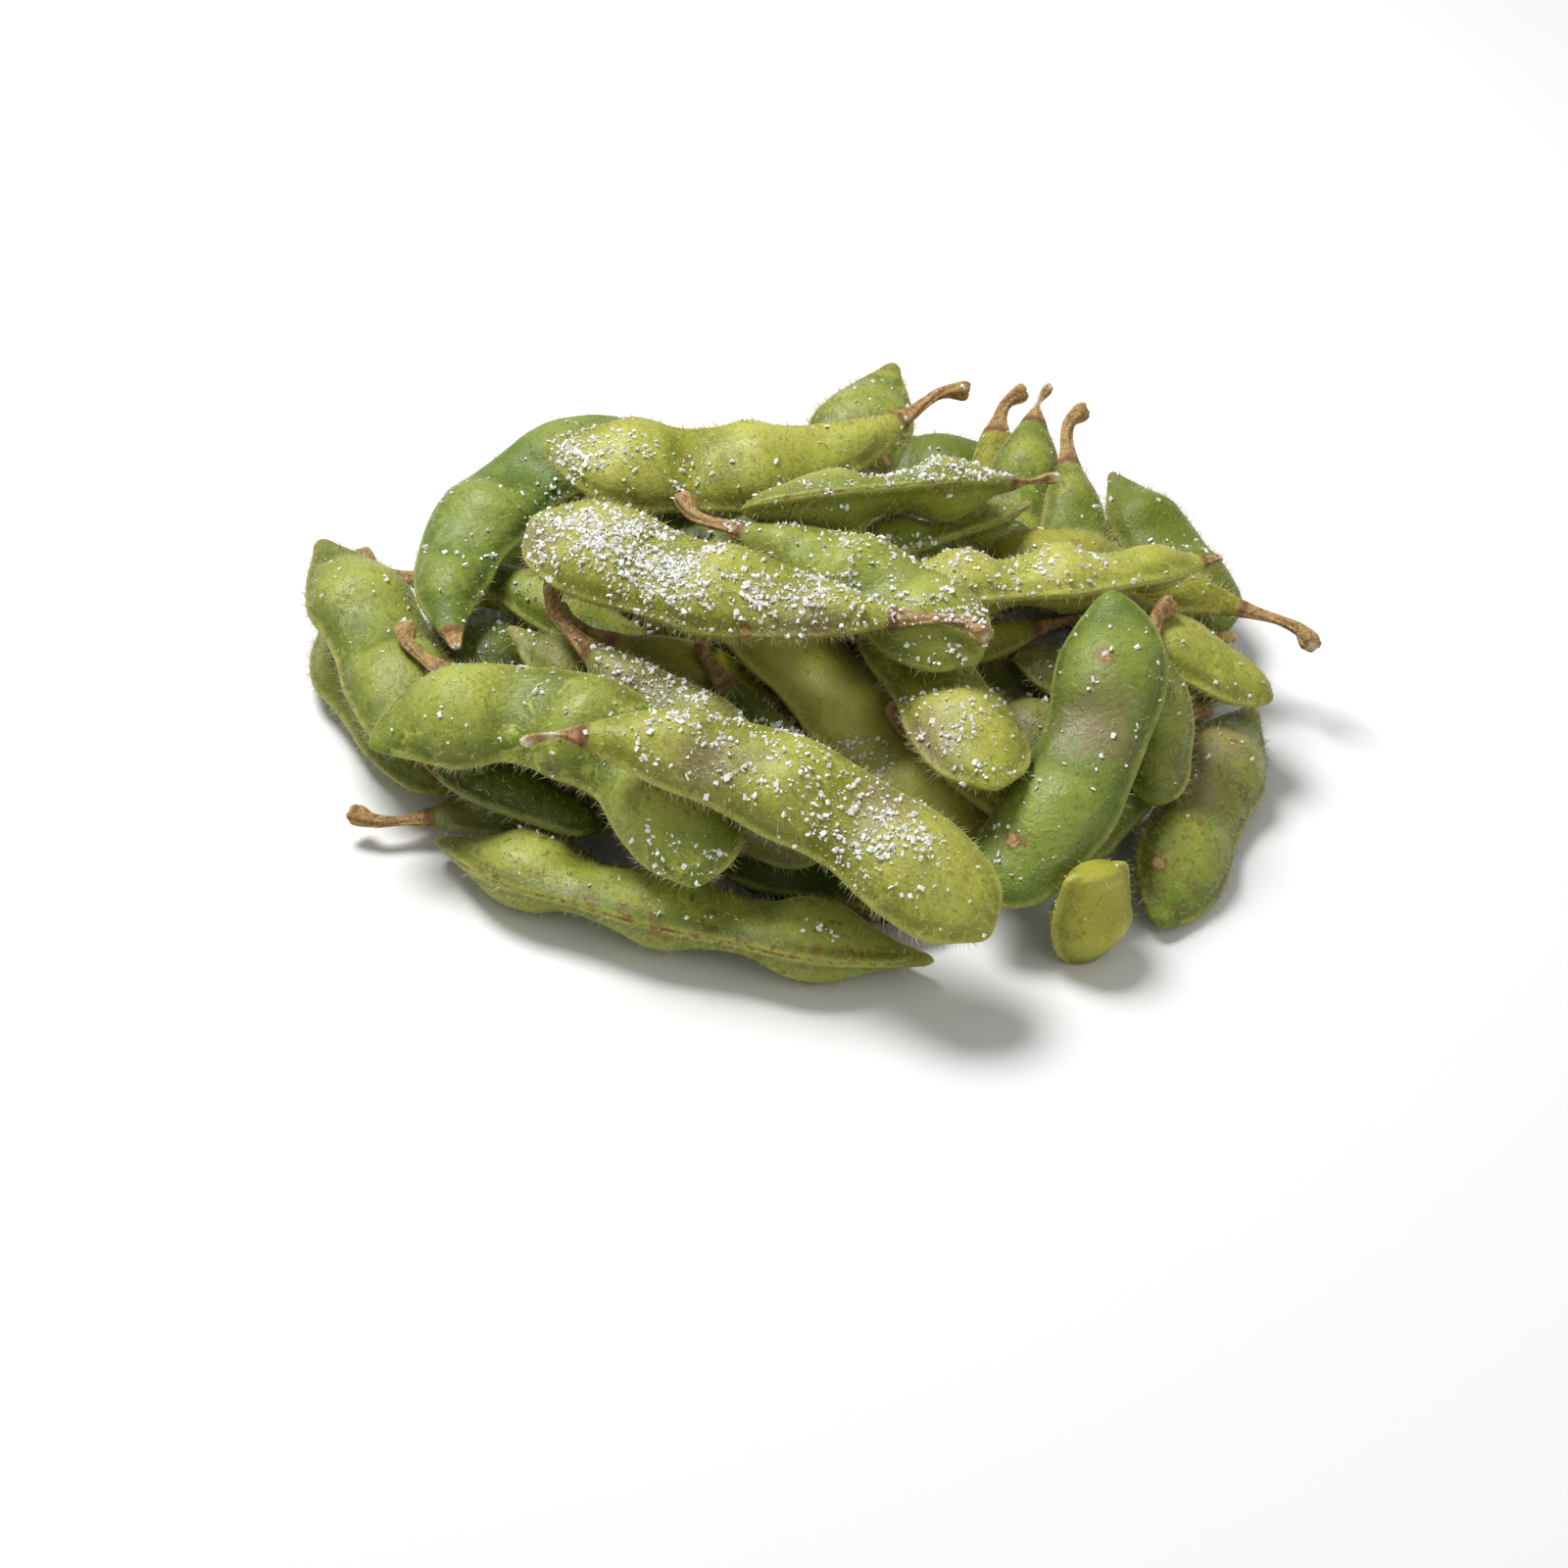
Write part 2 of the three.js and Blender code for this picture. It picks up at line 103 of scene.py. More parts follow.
# What each pod shows, where it differs from an ordinary pod: how furred, how stained by brown,
# how mottled, how much paler, which on pale_under is painted light, and how strong the darker
# strip along each side of its seam is.
ORDINARY = {"fur": 0.6, "stain": 0.35, "mottle": 0.5, "shade": 0.0, "band": 0.0}
LOOKS = {
    "front_seam": {"fur": 0.5, "stain": 1.0, "mottle": 1.0, "shade": 0.28, "band": 1.0},
    "blunt_front": {"fur": 0.2, "stain": 0.1, "mottle": 0.3},
    "dark_front_right": {"fur": 0.3, "stain": 0.1, "mottle": 0.2},
    "dark_front_round": {"fur": 0.3, "stain": 0.1, "mottle": 0.2, "shade": 0.1},
    "stem_left": {"fur": 0.4, "shade": 0.1},
    "left_slim": {"fur": 1.0, "mottle": 0.4},
    "right_seam": {"fur": 1.0, "stain": 0.8, "mottle": 0.6},
    "dark_right": {"fur": 1.0},
    "right_stem": {"fur": 0.8, "stain": 0.6, "shade": -0.25},
    "neck_far_left": {"fur": 0.9, "stain": 0.6},
    "back_right_tip": {"fur": 1.0, "mottle": 0.8, "shade": 0.7},
    "dark_left": {"fur": 1.0},
    "grey_left": {"fur": 0.9},
    "tan_stem": {"fur": 0.9},
    "fuzzy_behind": {"fur": 1.0},
    "hooked_behind": {"fur": 0.5, "stain": 0.5},
    "pale_right": {"fur": 0.7, "shade": 0.1},
    "round_right": {"fur": 1.0, "shade": 0.15},
    "left_broad": {"fur": 0.9, "mottle": 0.4, "shade": 0.05},
    # pale_under lies low in the heap's shade; its paleness is painted light, as if it were lit.
    "pale_under": {"fur": 0.4, "mottle": 0.8, "shade": 0.55},
    "behind_top": {"fur": 1.0},
    "upright_back": {"fur": 0.9},
    "upright_hook": {"fur": 0.9},
    "tip_left": {"stain": 0.8},
    "dark_between": {"fur": 0.4, "stain": 0.5, "band": 0.4},
    "hooked_stem": {"stain": 0.5, "shade": 0.25},
    "blunt_hanging": {"fur": 0.5, "mottle": 0.7, "shade": 0.1},
    "right_broad": {"fur": 0.15, "stain": 0.25, "mottle": 0.35},
    "left_arched": {"fur": 0.8, "stain": 0.3, "mottle": 1.0, "shade": 0.1},
    "salted_back_short": {"fur": 0.7, "stain": 0.9, "shade": 0.25, "band": 0.5},
    "bright_right": {"fur": 0.5, "stain": 0.3, "mottle": 0.9, "shade": 0.3},
    "elbow": {"fur": 0.2, "stain": 0.15, "shade": 0.08},
    "salted_back": {"stain": 0.9, "shade": 0.35, "band": 0.6},
    "top_back": {"fur": 0.7, "stain": 0.25},
    "seamed_diagonal": {"fur": 0.4, "stain": 0.3, "mottle": 0.6, "shade": 0.35, "band": 0.4},
    "front_broad": {"stain": 0.25, "mottle": 0.8},
    "under_far_back": {"fur": 0.7, "mottle": 0.7, "shade": 0.55},
    "under_back": {"fur": 0.7, "mottle": 0.6, "shade": 0.35},
    "under_back_left": {"fur": 0.8, "mottle": 0.7, "shade": 0.45},
    "under_back_right": {"fur": 0.7, "mottle": 0.6, "shade": 0.4},
    "salted_middle": {"fur": 0.8, "stain": 0.5, "mottle": 0.6, "shade": 0.1},
}

# Marks that single pods carry, by kind: photograph pixel across and down, and radius in mm.
# A scar is tan with a brown ring, a blush is grey-brown, and a painted highlight is a paler
# yellowish patch painted where light falls on tops and bumps, which also widens the mottle there.
MARKS = {
    "scar": (
        (1128, 672, 1.3), (1035, 858, 1.3), (1182, 880, 1.1), (760, 645, 0.8), (700, 470, 0.9),
        (905, 470, 0.9),
    ),
    "blush": (
        (552, 548, 3.5), (940, 760, 5.0), (1215, 800, 5.5), (1240, 760, 5.0), (1120, 740, 5.0),
        (720, 780, 4.0), (900, 820, 4.0), (820, 650, 5.0), (640, 700, 3.0),
    ),
    # Painted highlights: paler patches painted where light falls on tops and bumps.
    "glow": (
        (480, 690, 7.0), (640, 830, 6.0), (960, 880, 7.0), (1060, 830, 6.0), (800, 440, 8.0),
        (1080, 585, 6.0), (840, 760, 6.0), (530, 862, 5.0), (690, 903, 5.0), (824, 935, 5.0),
        (610, 885, 3.5), (760, 918, 3.5), (385, 600, 5.0), (1130, 590, 5.0), (900, 430, 4.5),
        (990, 720, 4.5), (620, 470, 5.0), (490, 530, 4.5), (1120, 900, 4.0), (560, 610, 5.0),
        (640, 915, 4.0), (560, 895, 4.0), (880, 965, 4.0),
    ),
}

# Where salt fell: photograph pixel across and down, spread in mm, grains.
SALT_FALLS = (
    (590, 540, 4.0, 700), (640, 560, 4.5, 1100), (690, 590, 4.0, 900), (760, 610, 5.0, 600),
    (560, 535, 3.5, 260), (850, 640, 6.0, 420), (920, 655, 5.0, 260), (985, 660, 3.0, 60),
    (578, 456, 3.0, 260), (606, 460, 3.5, 320), (650, 470, 4.5, 180), (700, 505, 6.0, 110),
    (790, 545, 4.0, 110), (850, 565, 5.0, 200), (900, 590, 4.5, 150), (740, 530, 4.0, 60),
    (880, 510, 5.0, 240), (960, 495, 5.0, 380), (1010, 495, 3.5, 260), (960, 530, 5.0, 240),
    (1010, 575, 4.5, 150), (1060, 580, 5.0, 110), (1120, 575, 5.0, 70), (975, 585, 3.0, 60),
    (620, 655, 4.0, 160), (680, 700, 4.0, 320), (640, 690, 4.0, 120),
    (980, 690, 3.0, 260), (985, 730, 4.0, 260), (1000, 790, 4.0, 90),
    (720, 750, 6.0, 330), (780, 770, 7.0, 330), (860, 830, 5.0, 500), (900, 850, 4.0, 420),
    (700, 770, 5.0, 90), (930, 900, 7.0, 120), (640, 745, 5.0, 60),
    (510, 720, 7.0, 60), (600, 780, 8.0, 60), (450, 560, 8.0, 50), (500, 640, 5.0, 60),
    (1110, 720, 8.0, 40), (1050, 860, 8.0, 30), (1230, 760, 8.0, 20),
    (830, 700, 4.0, 220), (870, 740, 5.0, 360), (700, 930, 12.0, 40),
)


def shown_colour(red, green, blue):
    """A colour as it is seen on a screen, 0 to 255, as the linear values that Blender takes."""
    channels = [c / 255 for c in (red, green, blue)]
    return tuple(c / 12.92 if c <= 0.04045 else ((c + 0.055) / 1.055) ** 2.4 for c in channels)


# Deep, middle and light tone of each pod finish, as seen on a screen.
TONES = {
    "pod_lime": ((98, 107, 16), (150, 154, 42), (192, 190, 88)),
    "pod_fresh": ((76, 94, 16), (120, 134, 34), (172, 178, 78)),
    "pod_bluish": ((68, 91, 22), (108, 128, 38), (150, 160, 66)),
    "pod_deep": ((38, 54, 4), (68, 86, 10), (114, 128, 36)),
    "pod_grey": ((80, 90, 28), (122, 128, 52), (174, 172, 96)),
    "pod_olive": ((102, 104, 8), (150, 148, 30), (188, 182, 72)),
}

# The camera, in pixels of the photograph.
PHOTO_SIDE = 1600
PHOTO_FOCAL = 3000

# Place and width of each lamp, and what both point at.
LAMPS = {"key": ((-0.2, 0.2, 0.55), 0.28), "fill": ((0.35, -0.4, 0.4), 0.5)}
LAMP_TARGET = (0, 0, 0.01)
FLOOR_REACH = 6


def colour_property(name, text, *seen):
    """A colour setting, given as it is seen on a screen."""
    return FloatVectorProperty(
        name=name, description=text, subtype="COLOR", size=3, min=0.0, max=1.0,
        default=shown_colour(*seen),
    )


def length_property(name, text, value_mm):
    """A length setting, given in millimetres."""
    return FloatProperty(
        name=name, description=text, subtype="DISTANCE", unit="LENGTH", min=0.0,
        default=value_mm * MM, precision=5,
    )


def power_property(name, text, watts):
    """A setting for a lamp's power."""
    return FloatProperty(name=name, description=text, unit="POWER", min=0.0, default=watts)


class PodSkinSettings(bpy.types.PropertyGroup):
    row_step: length_property("Row step", "Distance between the skin's rows along a pod", 0.6)
    seam_rib: length_property("Seam rib", "Height of the raised rib along each seam", 0.34)
    seam_groove: length_property("Seam groove", "Depth of the line in the middle of the rib", 0.22)
    wrinkle: length_property("Wrinkle", "Height of the uneven places on the skin", 0.16)
    bulge: FloatProperty(
        name="Bean bulge", description="How much the beans stand out more than in the solid",
        subtype="FACTOR", min=0.0, max=2.0, default=0.75,
    )
    dry_radius: length_property("Dry radius", "Stalks and threads thinner than this are dry", 1.15)
    furrow: length_property("Furrow", "Depth of the furrows along a dry stalk", 0.12)


class PodColourSettings(bpy.types.PropertyGroup):
    stalk: colour_property("Stalk", "Dry stalk", 190, 156, 100)
    thread: colour_property("Thread", "Thin dry thread at a pod's tip", 244, 238, 216)
    collar: colour_property("Collar", "Where a stalk or thread leaves its pod", 106, 62, 34)
    chalk: colour_property("Chalk", "Torn end of a stalk", 224, 206, 170)
    stain: colour_property("Stain", "Brown stain on seams and bumps", 120, 62, 26)
    blush: colour_property("Blush", "Grey-brown place on a pod", 142, 124, 92)
    rim: colour_property("Rim", "Pale rim of a seam", 196, 194, 104)


class HairSettings(bpy.types.PropertyGroup):
    length: length_property("Length", "Longest hair", 2.0)
    radius: length_property("Radius", "Hair radius at the skin", 0.042)
    density: FloatProperty(
        name="Density", description="Hairs per square millimetre on a fully furred pod",
        min=0.0, max=4.0, default=1.3,
    )
    colour: colour_property("Colour", "Dry pale hair", 214, 204, 150)


class SaltSettings(bpy.types.PropertyGroup):
    smallest: length_property("Smallest", "Smallest salt grain", 0.12)
    largest: length_property("Largest", "Largest salt grain", 0.86)
    stray: IntProperty(
        name="Stray grains", description="Grains strewn all over the heap", min=0, default=3000
    )
    clump: length_property("Clump", "Spread of one clump of grains", 0.8)
    colour: colour_property("Colour", "Salt", 253, 253, 250)


class StageSettings(bpy.types.PropertyGroup):
    floor: colour_property("Floor", "Plain pale floor", 236, 236, 236)
    pitch: FloatProperty(
        name="Camera pitch", description="How far down the camera looks", subtype="ANGLE",
        default=math.radians(38.3),
    )
    distance: length_property("Camera distance", "From the camera to the middle of its view", 396)
    aim: FloatVectorProperty(
        name="Camera aim", description="Where the middle of the view meets the floor",
        subtype="TRANSLATION", unit="LENGTH", default=(-3.232 * MM, -16.393 * MM, 0),
    )
    key: power_property("Key light", "Power of the main soft light", 4.3)
    fill: power_property("Fill light", "Power of the soft fill light", 0.7)
    sky: FloatProperty(
        name="Sky light", description="Strength of the even light", default=0.32, min=0.0
    )


# ---------------------------------------------------------------- reading the solids


def in_order(ring):
    """The corners of one ring, in order round the pod."""
    start = min(ring, key=lambda corner: corner.index)
    ordered = [start]
    while len(ordered) < len(ring):
        beside = [e.other_vert(ordered[-1]) for e in ordered[-1].link_edges]
        beside = [v for v in beside if v in ring and v not in ordered]
        ordered.append(min(beside, key=lambda corner: corner.index))
    return ordered


def pod_rings(node):
    """A pod's corners as (rings + 2, 8, 3). The first and last rings are its two end points."""
    shape = bmesh.new()
    shape.from_mesh(frame["nodes"][node].data)
    bmesh.ops.remove_doubles(shape, verts=shape.verts, dist=MERGE)
    shape.verts.index_update()
    ends = [v for v in shape.verts if len(v.link_edges) == CORNERS]
    if len(ends) != 2 or (len(shape.verts) - 2) % CORNERS:
        raise RuntimeError(f"{node} isn't made of rings between two end points")
    seen, layer, rings = {ends[0]}, [ends[0]], [np.array([ends[0].co] * CORNERS)]
    while True:
        reached = {e.other_vert(v) for v in layer for e in v.link_edges} - seen
        if ends[1] in reached:
            break
        layer = in_order(reached)
        seen |= reached
        ring = np.array([v.co for v in layer])
        if len(rings) > 1:
            turned = [np.roll(r, s, axis=0) for r in (ring, ring[::-1]) for s in range(CORNERS)]
            ring = min(turned, key=lambda r: ((r - rings[-1]) ** 2).sum())
        rings.append(ring)
    rings.append(np.array([ends[1].co] * CORNERS))
    shape.free()
    rings = np.array(rings, float)
    across = np.linalg.norm(rings[:, :4] - rings[:, 4:], axis=2)
    seam = np.unravel_index(across.argmax(), across.shape)[1]
    return np.roll(rings, -seam, axis=1)


# ---------------------------------------------------------------- laying the skin

LEAST_ROWS = 24  # steps along the shortest pod
BODY_RADII = (1.7 * MM, 3.0 * MM)  # a stalk up to the first, a pod from the second
THREAD_RADII = (0.4 * MM, 0.55 * MM)  # a thread up to the first, a stalk from the second

# Beans. How far a bump spreads from the middle of a valve is given in corners.
BEAN_REACH = 5.5 * MM  # a bump is what stands out from the thickness this far along the pod
BEAN_FULL = 0.9 * MM  # the bump of a full bean
# A bean's colour is a painted highlight: its bulge is painted paler where it stands out.
BULGE_WIDTH, PAINTED_BEAN_LIGHT_WIDTH = 1.0, 1.1  # of its shape, and of its colour

# Unevenness: wave lengths and the share of the fine waves.
BROAD_WAVE, FINE_WAVE, FINE_SHARE = 8 * MM, 2.4 * MM, 0.45
STALK_WRINKLE = 0.1  # of a pod's wrinkles
SEAM_FLATNESS, SEAM_FLAT_MM = 0.7, 1.2

# The rib along a seam, the line in it and the hollow beside it. A banded pod has a wider rib.
RIB_MM, BANDED_RIB_MM = 0.6, 0.7
LINE_MM = 0.2
HOLLOW_AT_MM, BANDED_HOLLOW_MM, HOLLOW_MM = 1.35, 0.55, 0.5
HOLLOW_DEPTH = 0.24 * MM
SEAM_STARTS = 0.05  # what is less of a pod than this has no seam
NO_SEAM_MM = 9.0  # stands for a stalk's distance from a seam

# Dry stalks and threads: the shortest that dries and the shortest that is all dry, where it
# turns green, where its collar lies, how far its torn end reaches, and its furrows.
DRY_LENGTHS = (2.0 * MM, 3.4 * MM)
DRY_EDGE = (0.1 * MM, 1.2 * MM)
COLLAR_AT, COLLAR_WIDTH = 0.2 * MM, 0.65 * MM
TORN_REACH = (0.3 * MM, 1.1 * MM)
FURROWS, FURROW_TWIST = 7, 1.5 * MM


def curve_through(points, slopes, knots, at):
    """Points on the smooth curves that pass through points at knots."""
    place = np.clip(np.searchsorted(knots, at, side="right") - 1, 0, len(knots) - 2)
    gap = (knots[place + 1] - knots[place])[:, None, None]
    t = (at - knots[place])[:, None, None] / gap
    return (
        (2 * t**3 - 3 * t**2 + 1) * points[place]
        + (t**3 - 2 * t**2 + t) * gap * slopes[place]
        + (3 * t**2 - 2 * t**3) * points[place + 1]
        + (t**3 - t**2) * gap * slopes[place + 1]
    )


def rows_along(rings, step):
    """Evenly spaced rows of eight points along a pod, and how far along each one is."""
    steps = np.linalg.norm(np.diff(rings, axis=0), axis=2).mean(1)
    knots = np.concatenate([[0], np.cumsum(steps)])
    # Past an end point each curve comes back on the other side of the pod.
    padded = np.concatenate([np.roll(rings[1:2], 4, 1), rings, np.roll(rings[-2:-1], 4, 1)])
    gaps = np.concatenate([steps[:1], steps, steps[-1:]])[:, None, None]
    pace = np.diff(padded, axis=0) / gaps
    slopes = (pace[1:] * gaps[:-1] + pace[:-1] * gaps[1:]) / (gaps[1:] + gaps[:-1])
    at = np.linspace(0, knots[-1], max(LEAST_ROWS, round(knots[-1] / step)) + 1)
    return curve_through(rings, slopes, knots, at), at


def round_the_pod(rows, valve, crease):
    """Each row of eight points as a closed ring of many. A seam is sharp where crease is 1."""
    sides = []
    for first in (0, 4):
        half = np.roll(rows, -first, axis=1)
        five = half[:, :5]
        slopes = np.zeros_like(five)
        slopes[:, 1:4] = (five[:, 2:] - five[:, :3]) / 2
        smooth_start = (half[:, 1] - half[:, 7]) / 2
        smooth_end = (half[:, 5] - half[:, 3]) / 2
        sharp_start = 1.5 * (five[:, 1] - five[:, 0]) - 0.5 * slopes[:, 1]
        sharp_end = 1.5 * (five[:, 4] - five[:, 3]) - 0.5 * slopes[:, 3]
        slopes[:, 0] = crease * sharp_start + (1 - crease) * smooth_start
        slopes[:, 4] = crease * sharp_end + (1 - crease) * smooth_end
        side = curve_through(
            five.transpose(1, 0, 2), slopes.transpose(1, 0, 2), np.arange(5.0), np.array(valve[:-1])
        )
        sides.append(side.transpose(1, 0, 2))
    return np.concatenate(sides, axis=1)


def softened(values, width):
    """A list of values, blurred over that many rows."""
    reach = np.arange(-3 * width, 3 * width + 1)
    weight = np.exp(-((reach / width) ** 2) / 2)
    padded = np.pad(values, 3 * width, mode="edge")
    return np.convolve(padded, weight / weight.sum(), mode="valid")


def eased(value, low, high):
    """0 below low, 1 above high, and smooth between."""
    t = np.clip((value - low) / (high - low), 0, 1)
    return t * t * (3 - 2 * t)


def fading(distance, width):
    """1 where distance is 0, falling smoothly towards 0 past width."""
    return np.exp(-((distance / width) ** 2))


def outward(grid):
    """The outward direction at each point of a closed skin, and the direction along the pod."""
    along = np.gradient(grid, axis=0)
    along[0], along[-1] = along[1], along[-2]
    across = (np.roll(grid, -1, axis=1) - np.roll(grid, 1, axis=1)) / 2
    across[0], across[-1] = across[1], across[-2]
    facing = np.cross(along, across)
    facing /= np.maximum(np.linalg.norm(facing, axis=2, keepdims=True), TINY)
    from_middle = grid - grid.mean(1, keepdims=True)
    if (facing * from_middle).sum() < 0:
        facing = -facing
    along /= np.maximum(np.linalg.norm(along, axis=2, keepdims=True), TINY)
    return facing, along


def unevenness(grid, offset):
    """Smooth random heights between about -1 and 1: broad ones and fine ones."""
    heights = np.empty(grid.shape[:2])
    shift = Vector((offset, -offset, offset * 0.5))
    for j, i in np.ndindex(heights.shape):
        spot = Vector(grid[j, i])
        fine = noise.noise(spot / FINE_WAVE + shift)
        heights[j, i] = noise.noise(spot / BROAD_WAVE + shift) + FINE_SHARE * fine
    return heights


def dried_ends(radius, at, limit):
    """How dry each row is, and how near to a stalk's dark collar and to its torn end."""
    dry, collar, torn = np.zeros((3, len(at)))
    for run in (at, at[-1] - at):
        reach = run[radius > limit].min()
        strength = eased(reach, *DRY_LENGTHS)
        edge = eased(run, *(reach + shift for shift in DRY_EDGE))
        dry = np.maximum(dry, strength * (1 - edge))
        collar = np.maximum(collar, strength * fading(run - reach - COLLAR_AT, COLLAR_WIDTH))
        torn = np.maximum(torn, strength * (1 - eased(run, *TORN_REACH)))
    return dry, collar, torn


def pod_skin(node, settings, number, band):
    """The fine skin of one pod as a grid of points, and what each point is like."""
    buried = node in BURIED
    valve = BURIED_VALVE if buried else VALVE
    rows, at = rows_along(pod_rings(node), settings.row_step * (2 if buried else 1))
    middle = rows.mean(1, keepdims=True)
    radius = np.linalg.norm(rows - middle, axis=2).mean(1)
    body = eased(radius, *BODY_RADII)[:, None]
    grid = round_the_pod(rows, valve, body)
    facing, _ = outward(grid)

    # How far each point lies from the nearest crown, in corners, and seam, along the skin.
    first_half = np.array(valve[:-1])
    from_crown = np.abs(np.tile(first_half, 2) - 2)
    edge = np.linalg.norm(np.diff(grid, axis=1, append=grid[:, :1]), axis=2)
    from_seam = [
        np.minimum(np.cumsum(e, 1) - e, e.sum(1, keepdims=True) - np.cumsum(e, 1) + e)
        for e in np.split(edge, 2, axis=1)
    ]
    seam_mm = np.concatenate(from_seam, axis=1) / MM

    # Beans, wrinkles, the hollow beside a seam and a stalk's furrows lift the skin outward.
    thick = np.linalg.norm(rows[:, 2] - rows[:, 6], axis=1)
    reach = max(2, round(BEAN_REACH / (at[1] - at[0])))
    bump = (thick - softened(thick, reach))[:, None] * body
    lift = settings.bulge / 2 * bump * fading(from_crown, BULGE_WIDTH)
    rough = STALK_WRINKLE + (1 - STALK_WRINKLE) * body
    lift = lift + settings.wrinkle * unevenness(grid, number) * rough
    lift = lift * (1 - SEAM_FLATNESS * fading(seam_mm, SEAM_FLAT_MM))
    hollow_at = HOLLOW_AT_MM + BANDED_HOLLOW_MM * band
    lift = lift - HOLLOW_DEPTH * body * fading(seam_mm - hollow_at, HOLLOW_MM)
    slender = softened(radius, 2)
    dry, collar, torn = dried_ends(slender, at, settings.dry_radius)
    around = np.arange(grid.shape[1]) / grid.shape[1] * 2 * math.pi
    furrows = np.cos(FURROWS * around + at[:, None] / FURROW_TWIST)
    lift = lift + settings.furrow * dry[:, None] * furrows
    lift[0] = lift[-1] = 0
    # The rib and its line stand out edgeways.
    rib = settings.seam_rib * fading(seam_mm, RIB_MM + BANDED_RIB_MM * band)
    rib = (rib - settings.seam_groove * fading(seam_mm, LINE_MM)) * body
    edgeways = rows[:, 0] - rows[:, 4]
    edgeways /= np.maximum(np.linalg.norm(edgeways, axis=1, keepdims=True), TINY)
    nearer = np.where(first_half < 2, 1, -1)
    nearer = np.concatenate([nearer, -nearer])[:, None]
    grid = grid + lift[..., None] * facing + rib[..., None] * edgeways[:, None] * nearer
    grid[..., 2] = np.maximum(grid[..., 2], 0)
    facing, along = outward(grid)

    by_row = {"dry": dry, "collar": collar, "torn": torn, "run_mm": at / MM,
              "thin": 1 - eased(slender, *THREAD_RADII)}
    whole = {key: np.repeat(row[:, None], grid.shape[1], 1) for key, row in by_row.items()}
    # How far each point bulges as a bean, which the material paints paler as a painted highlight.
    whole["bean"] = np.clip(bump / BEAN_FULL, -1, 1) * fading(from_crown, PAINTED_BEAN_LIGHT_WIDTH)
    whole["seam_mm"] = np.where(body > SEAM_STARTS, seam_mm, NO_SEAM_MM)
    return {"grid": grid, "facing": facing, "along": along, **whole}


def marks_on(grid, marks):
    """How much of each kind of mark every point of a skin carries, from 0 to 1."""
    found = {kind: np.zeros(grid.shape[:2]) for kind in MARKS}
    for spot, radius, kind in marks:
        far = np.linalg.norm(grid - spot, axis=2)
        found[kind] = np.maximum(found[kind], fading(far, radius))
    return found


# What a skin's material reads at each point, and what is the same all over a pod.
VARIED = ("seam_mm", "dry", "bean", "thin", "run_mm", "collar", "torn", *MARKS)
STEADY = ("stain", "mottle", "shade", "band")


def linked(name, data):
    """A new object in the scene with this mesh, lamp or camera."""
    made = bpy.data.objects.new(name, data)
    bpy.context.scene.collection.objects.link(made)
    return made


def skin_piece(name, skin, look):
    """The skin as a closed mesh: a flat grid rolled round the pod, its edges and ends merged."""
    grid = skin["grid"]
    rows, sides = grid.shape[0] - 1, grid.shape[1]
    shape = bmesh.new()
    shape.loops.layers.uv.new("Skin")
    bmesh.ops.create_grid(shape, x_segments=sides, y_segments=rows, size=1, calc_uvs=True)
    layers = {key: shape.verts.layers.float.new(key) for key in VARIED + STEADY}
    for vert in shape.verts:
        i = round((vert.co.x + 1) / 2 * sides) % sides
        j = round((vert.co.y + 1) / 2 * rows)
        vert.co = grid[j, i]
        for key in VARIED:
            vert[layers[key]] = skin[key][j, i]
        for key in STEADY:
            vert[layers[key]] = look[key]
    bmesh.ops.remove_doubles(shape, verts=shape.verts, dist=MERGE / 10)
    bmesh.ops.recalc_face_normals(shape, faces=shape.faces)
    for face in shape.faces:
        face.smooth = True
    mesh = bpy.data.meshes.new(name)
    shape.to_mesh(mesh)
    shape.free()
    return linked(name, mesh)


# ---------------------------------------------------------------- small repeated shapes

FLOOR_GAP = 0.02 * MM  # the lowest that a hair or grain reaches


def many(make_one, count):
    """One small closed shape doubled until there are count of it, all in one place.

    Returns the single shape's corners, the mesh, and each vertex's copy and corner.
    """
    shape = bmesh.new()
    make_one(shape)
    corner_of, copy_of = (shape.verts.layers.int.new(key) for key in ("corner", "copy"))
    one = np.array([vert.co for vert in shape.verts])
    for corner, vert in enumerate(shape.verts):
        vert[corner_of] = corner
    made = 1
    while made < count:
        wanted = min(made, count - made)
        verts = [v for v in shape.verts if v[copy_of] < wanted]
        edges = [e for e in shape.edges if e.verts[0][copy_of] < wanted]
        faces = [f for f in shape.faces if f.verts[0][copy_of] < wanted]
        for new in bmesh.ops.duplicate(shape, geom=verts + edges + faces)["geom"]:
            if isinstance(new, bmesh.types.BMVert):
                new[copy_of] += made
        made += wanted
    mesh = bpy.data.meshes.new("many")
    shape.to_mesh(mesh)
    shape.free()
    numbers = []
    for key in ("copy", "corner"):
        read = np.empty(len(mesh.vertices), int)
        mesh.attributes[key].data.foreach_get("value", read)
        mesh.attributes.remove(mesh.attributes[key])
        numbers.append(read)
    return one, mesh, numbers


def one_hair(shape):
    """A thin spike of four faces, a unit high, with a unit radius at its foot."""
    bmesh.ops.create_cone(shape, cap_ends=True, segments=3, radius1=1, radius2=0, depth=1)
    bmesh.ops.remove_doubles(shape, verts=shape.verts, dist=0.001)
    bmesh.ops.translate(shape, verts=shape.verts, vec=(0, 0, 0.5))


def one_grain(shape):
    """A crystal a unit across, with eight corners."""
    bmesh.ops.create_cube(shape, size=1)


def frames_for(direction, rng):
    """Three directions at right angles for each given one, turned by chance round it."""
    up = direction / np.linalg.norm(direction, axis=1, keepdims=True)
    other = rng.normal(size=up.shape)
    side = np.cross(up, other)
    side /= np.maximum(np.linalg.norm(side, axis=1, keepdims=True), TINY)
    return side, np.cross(up, side), up


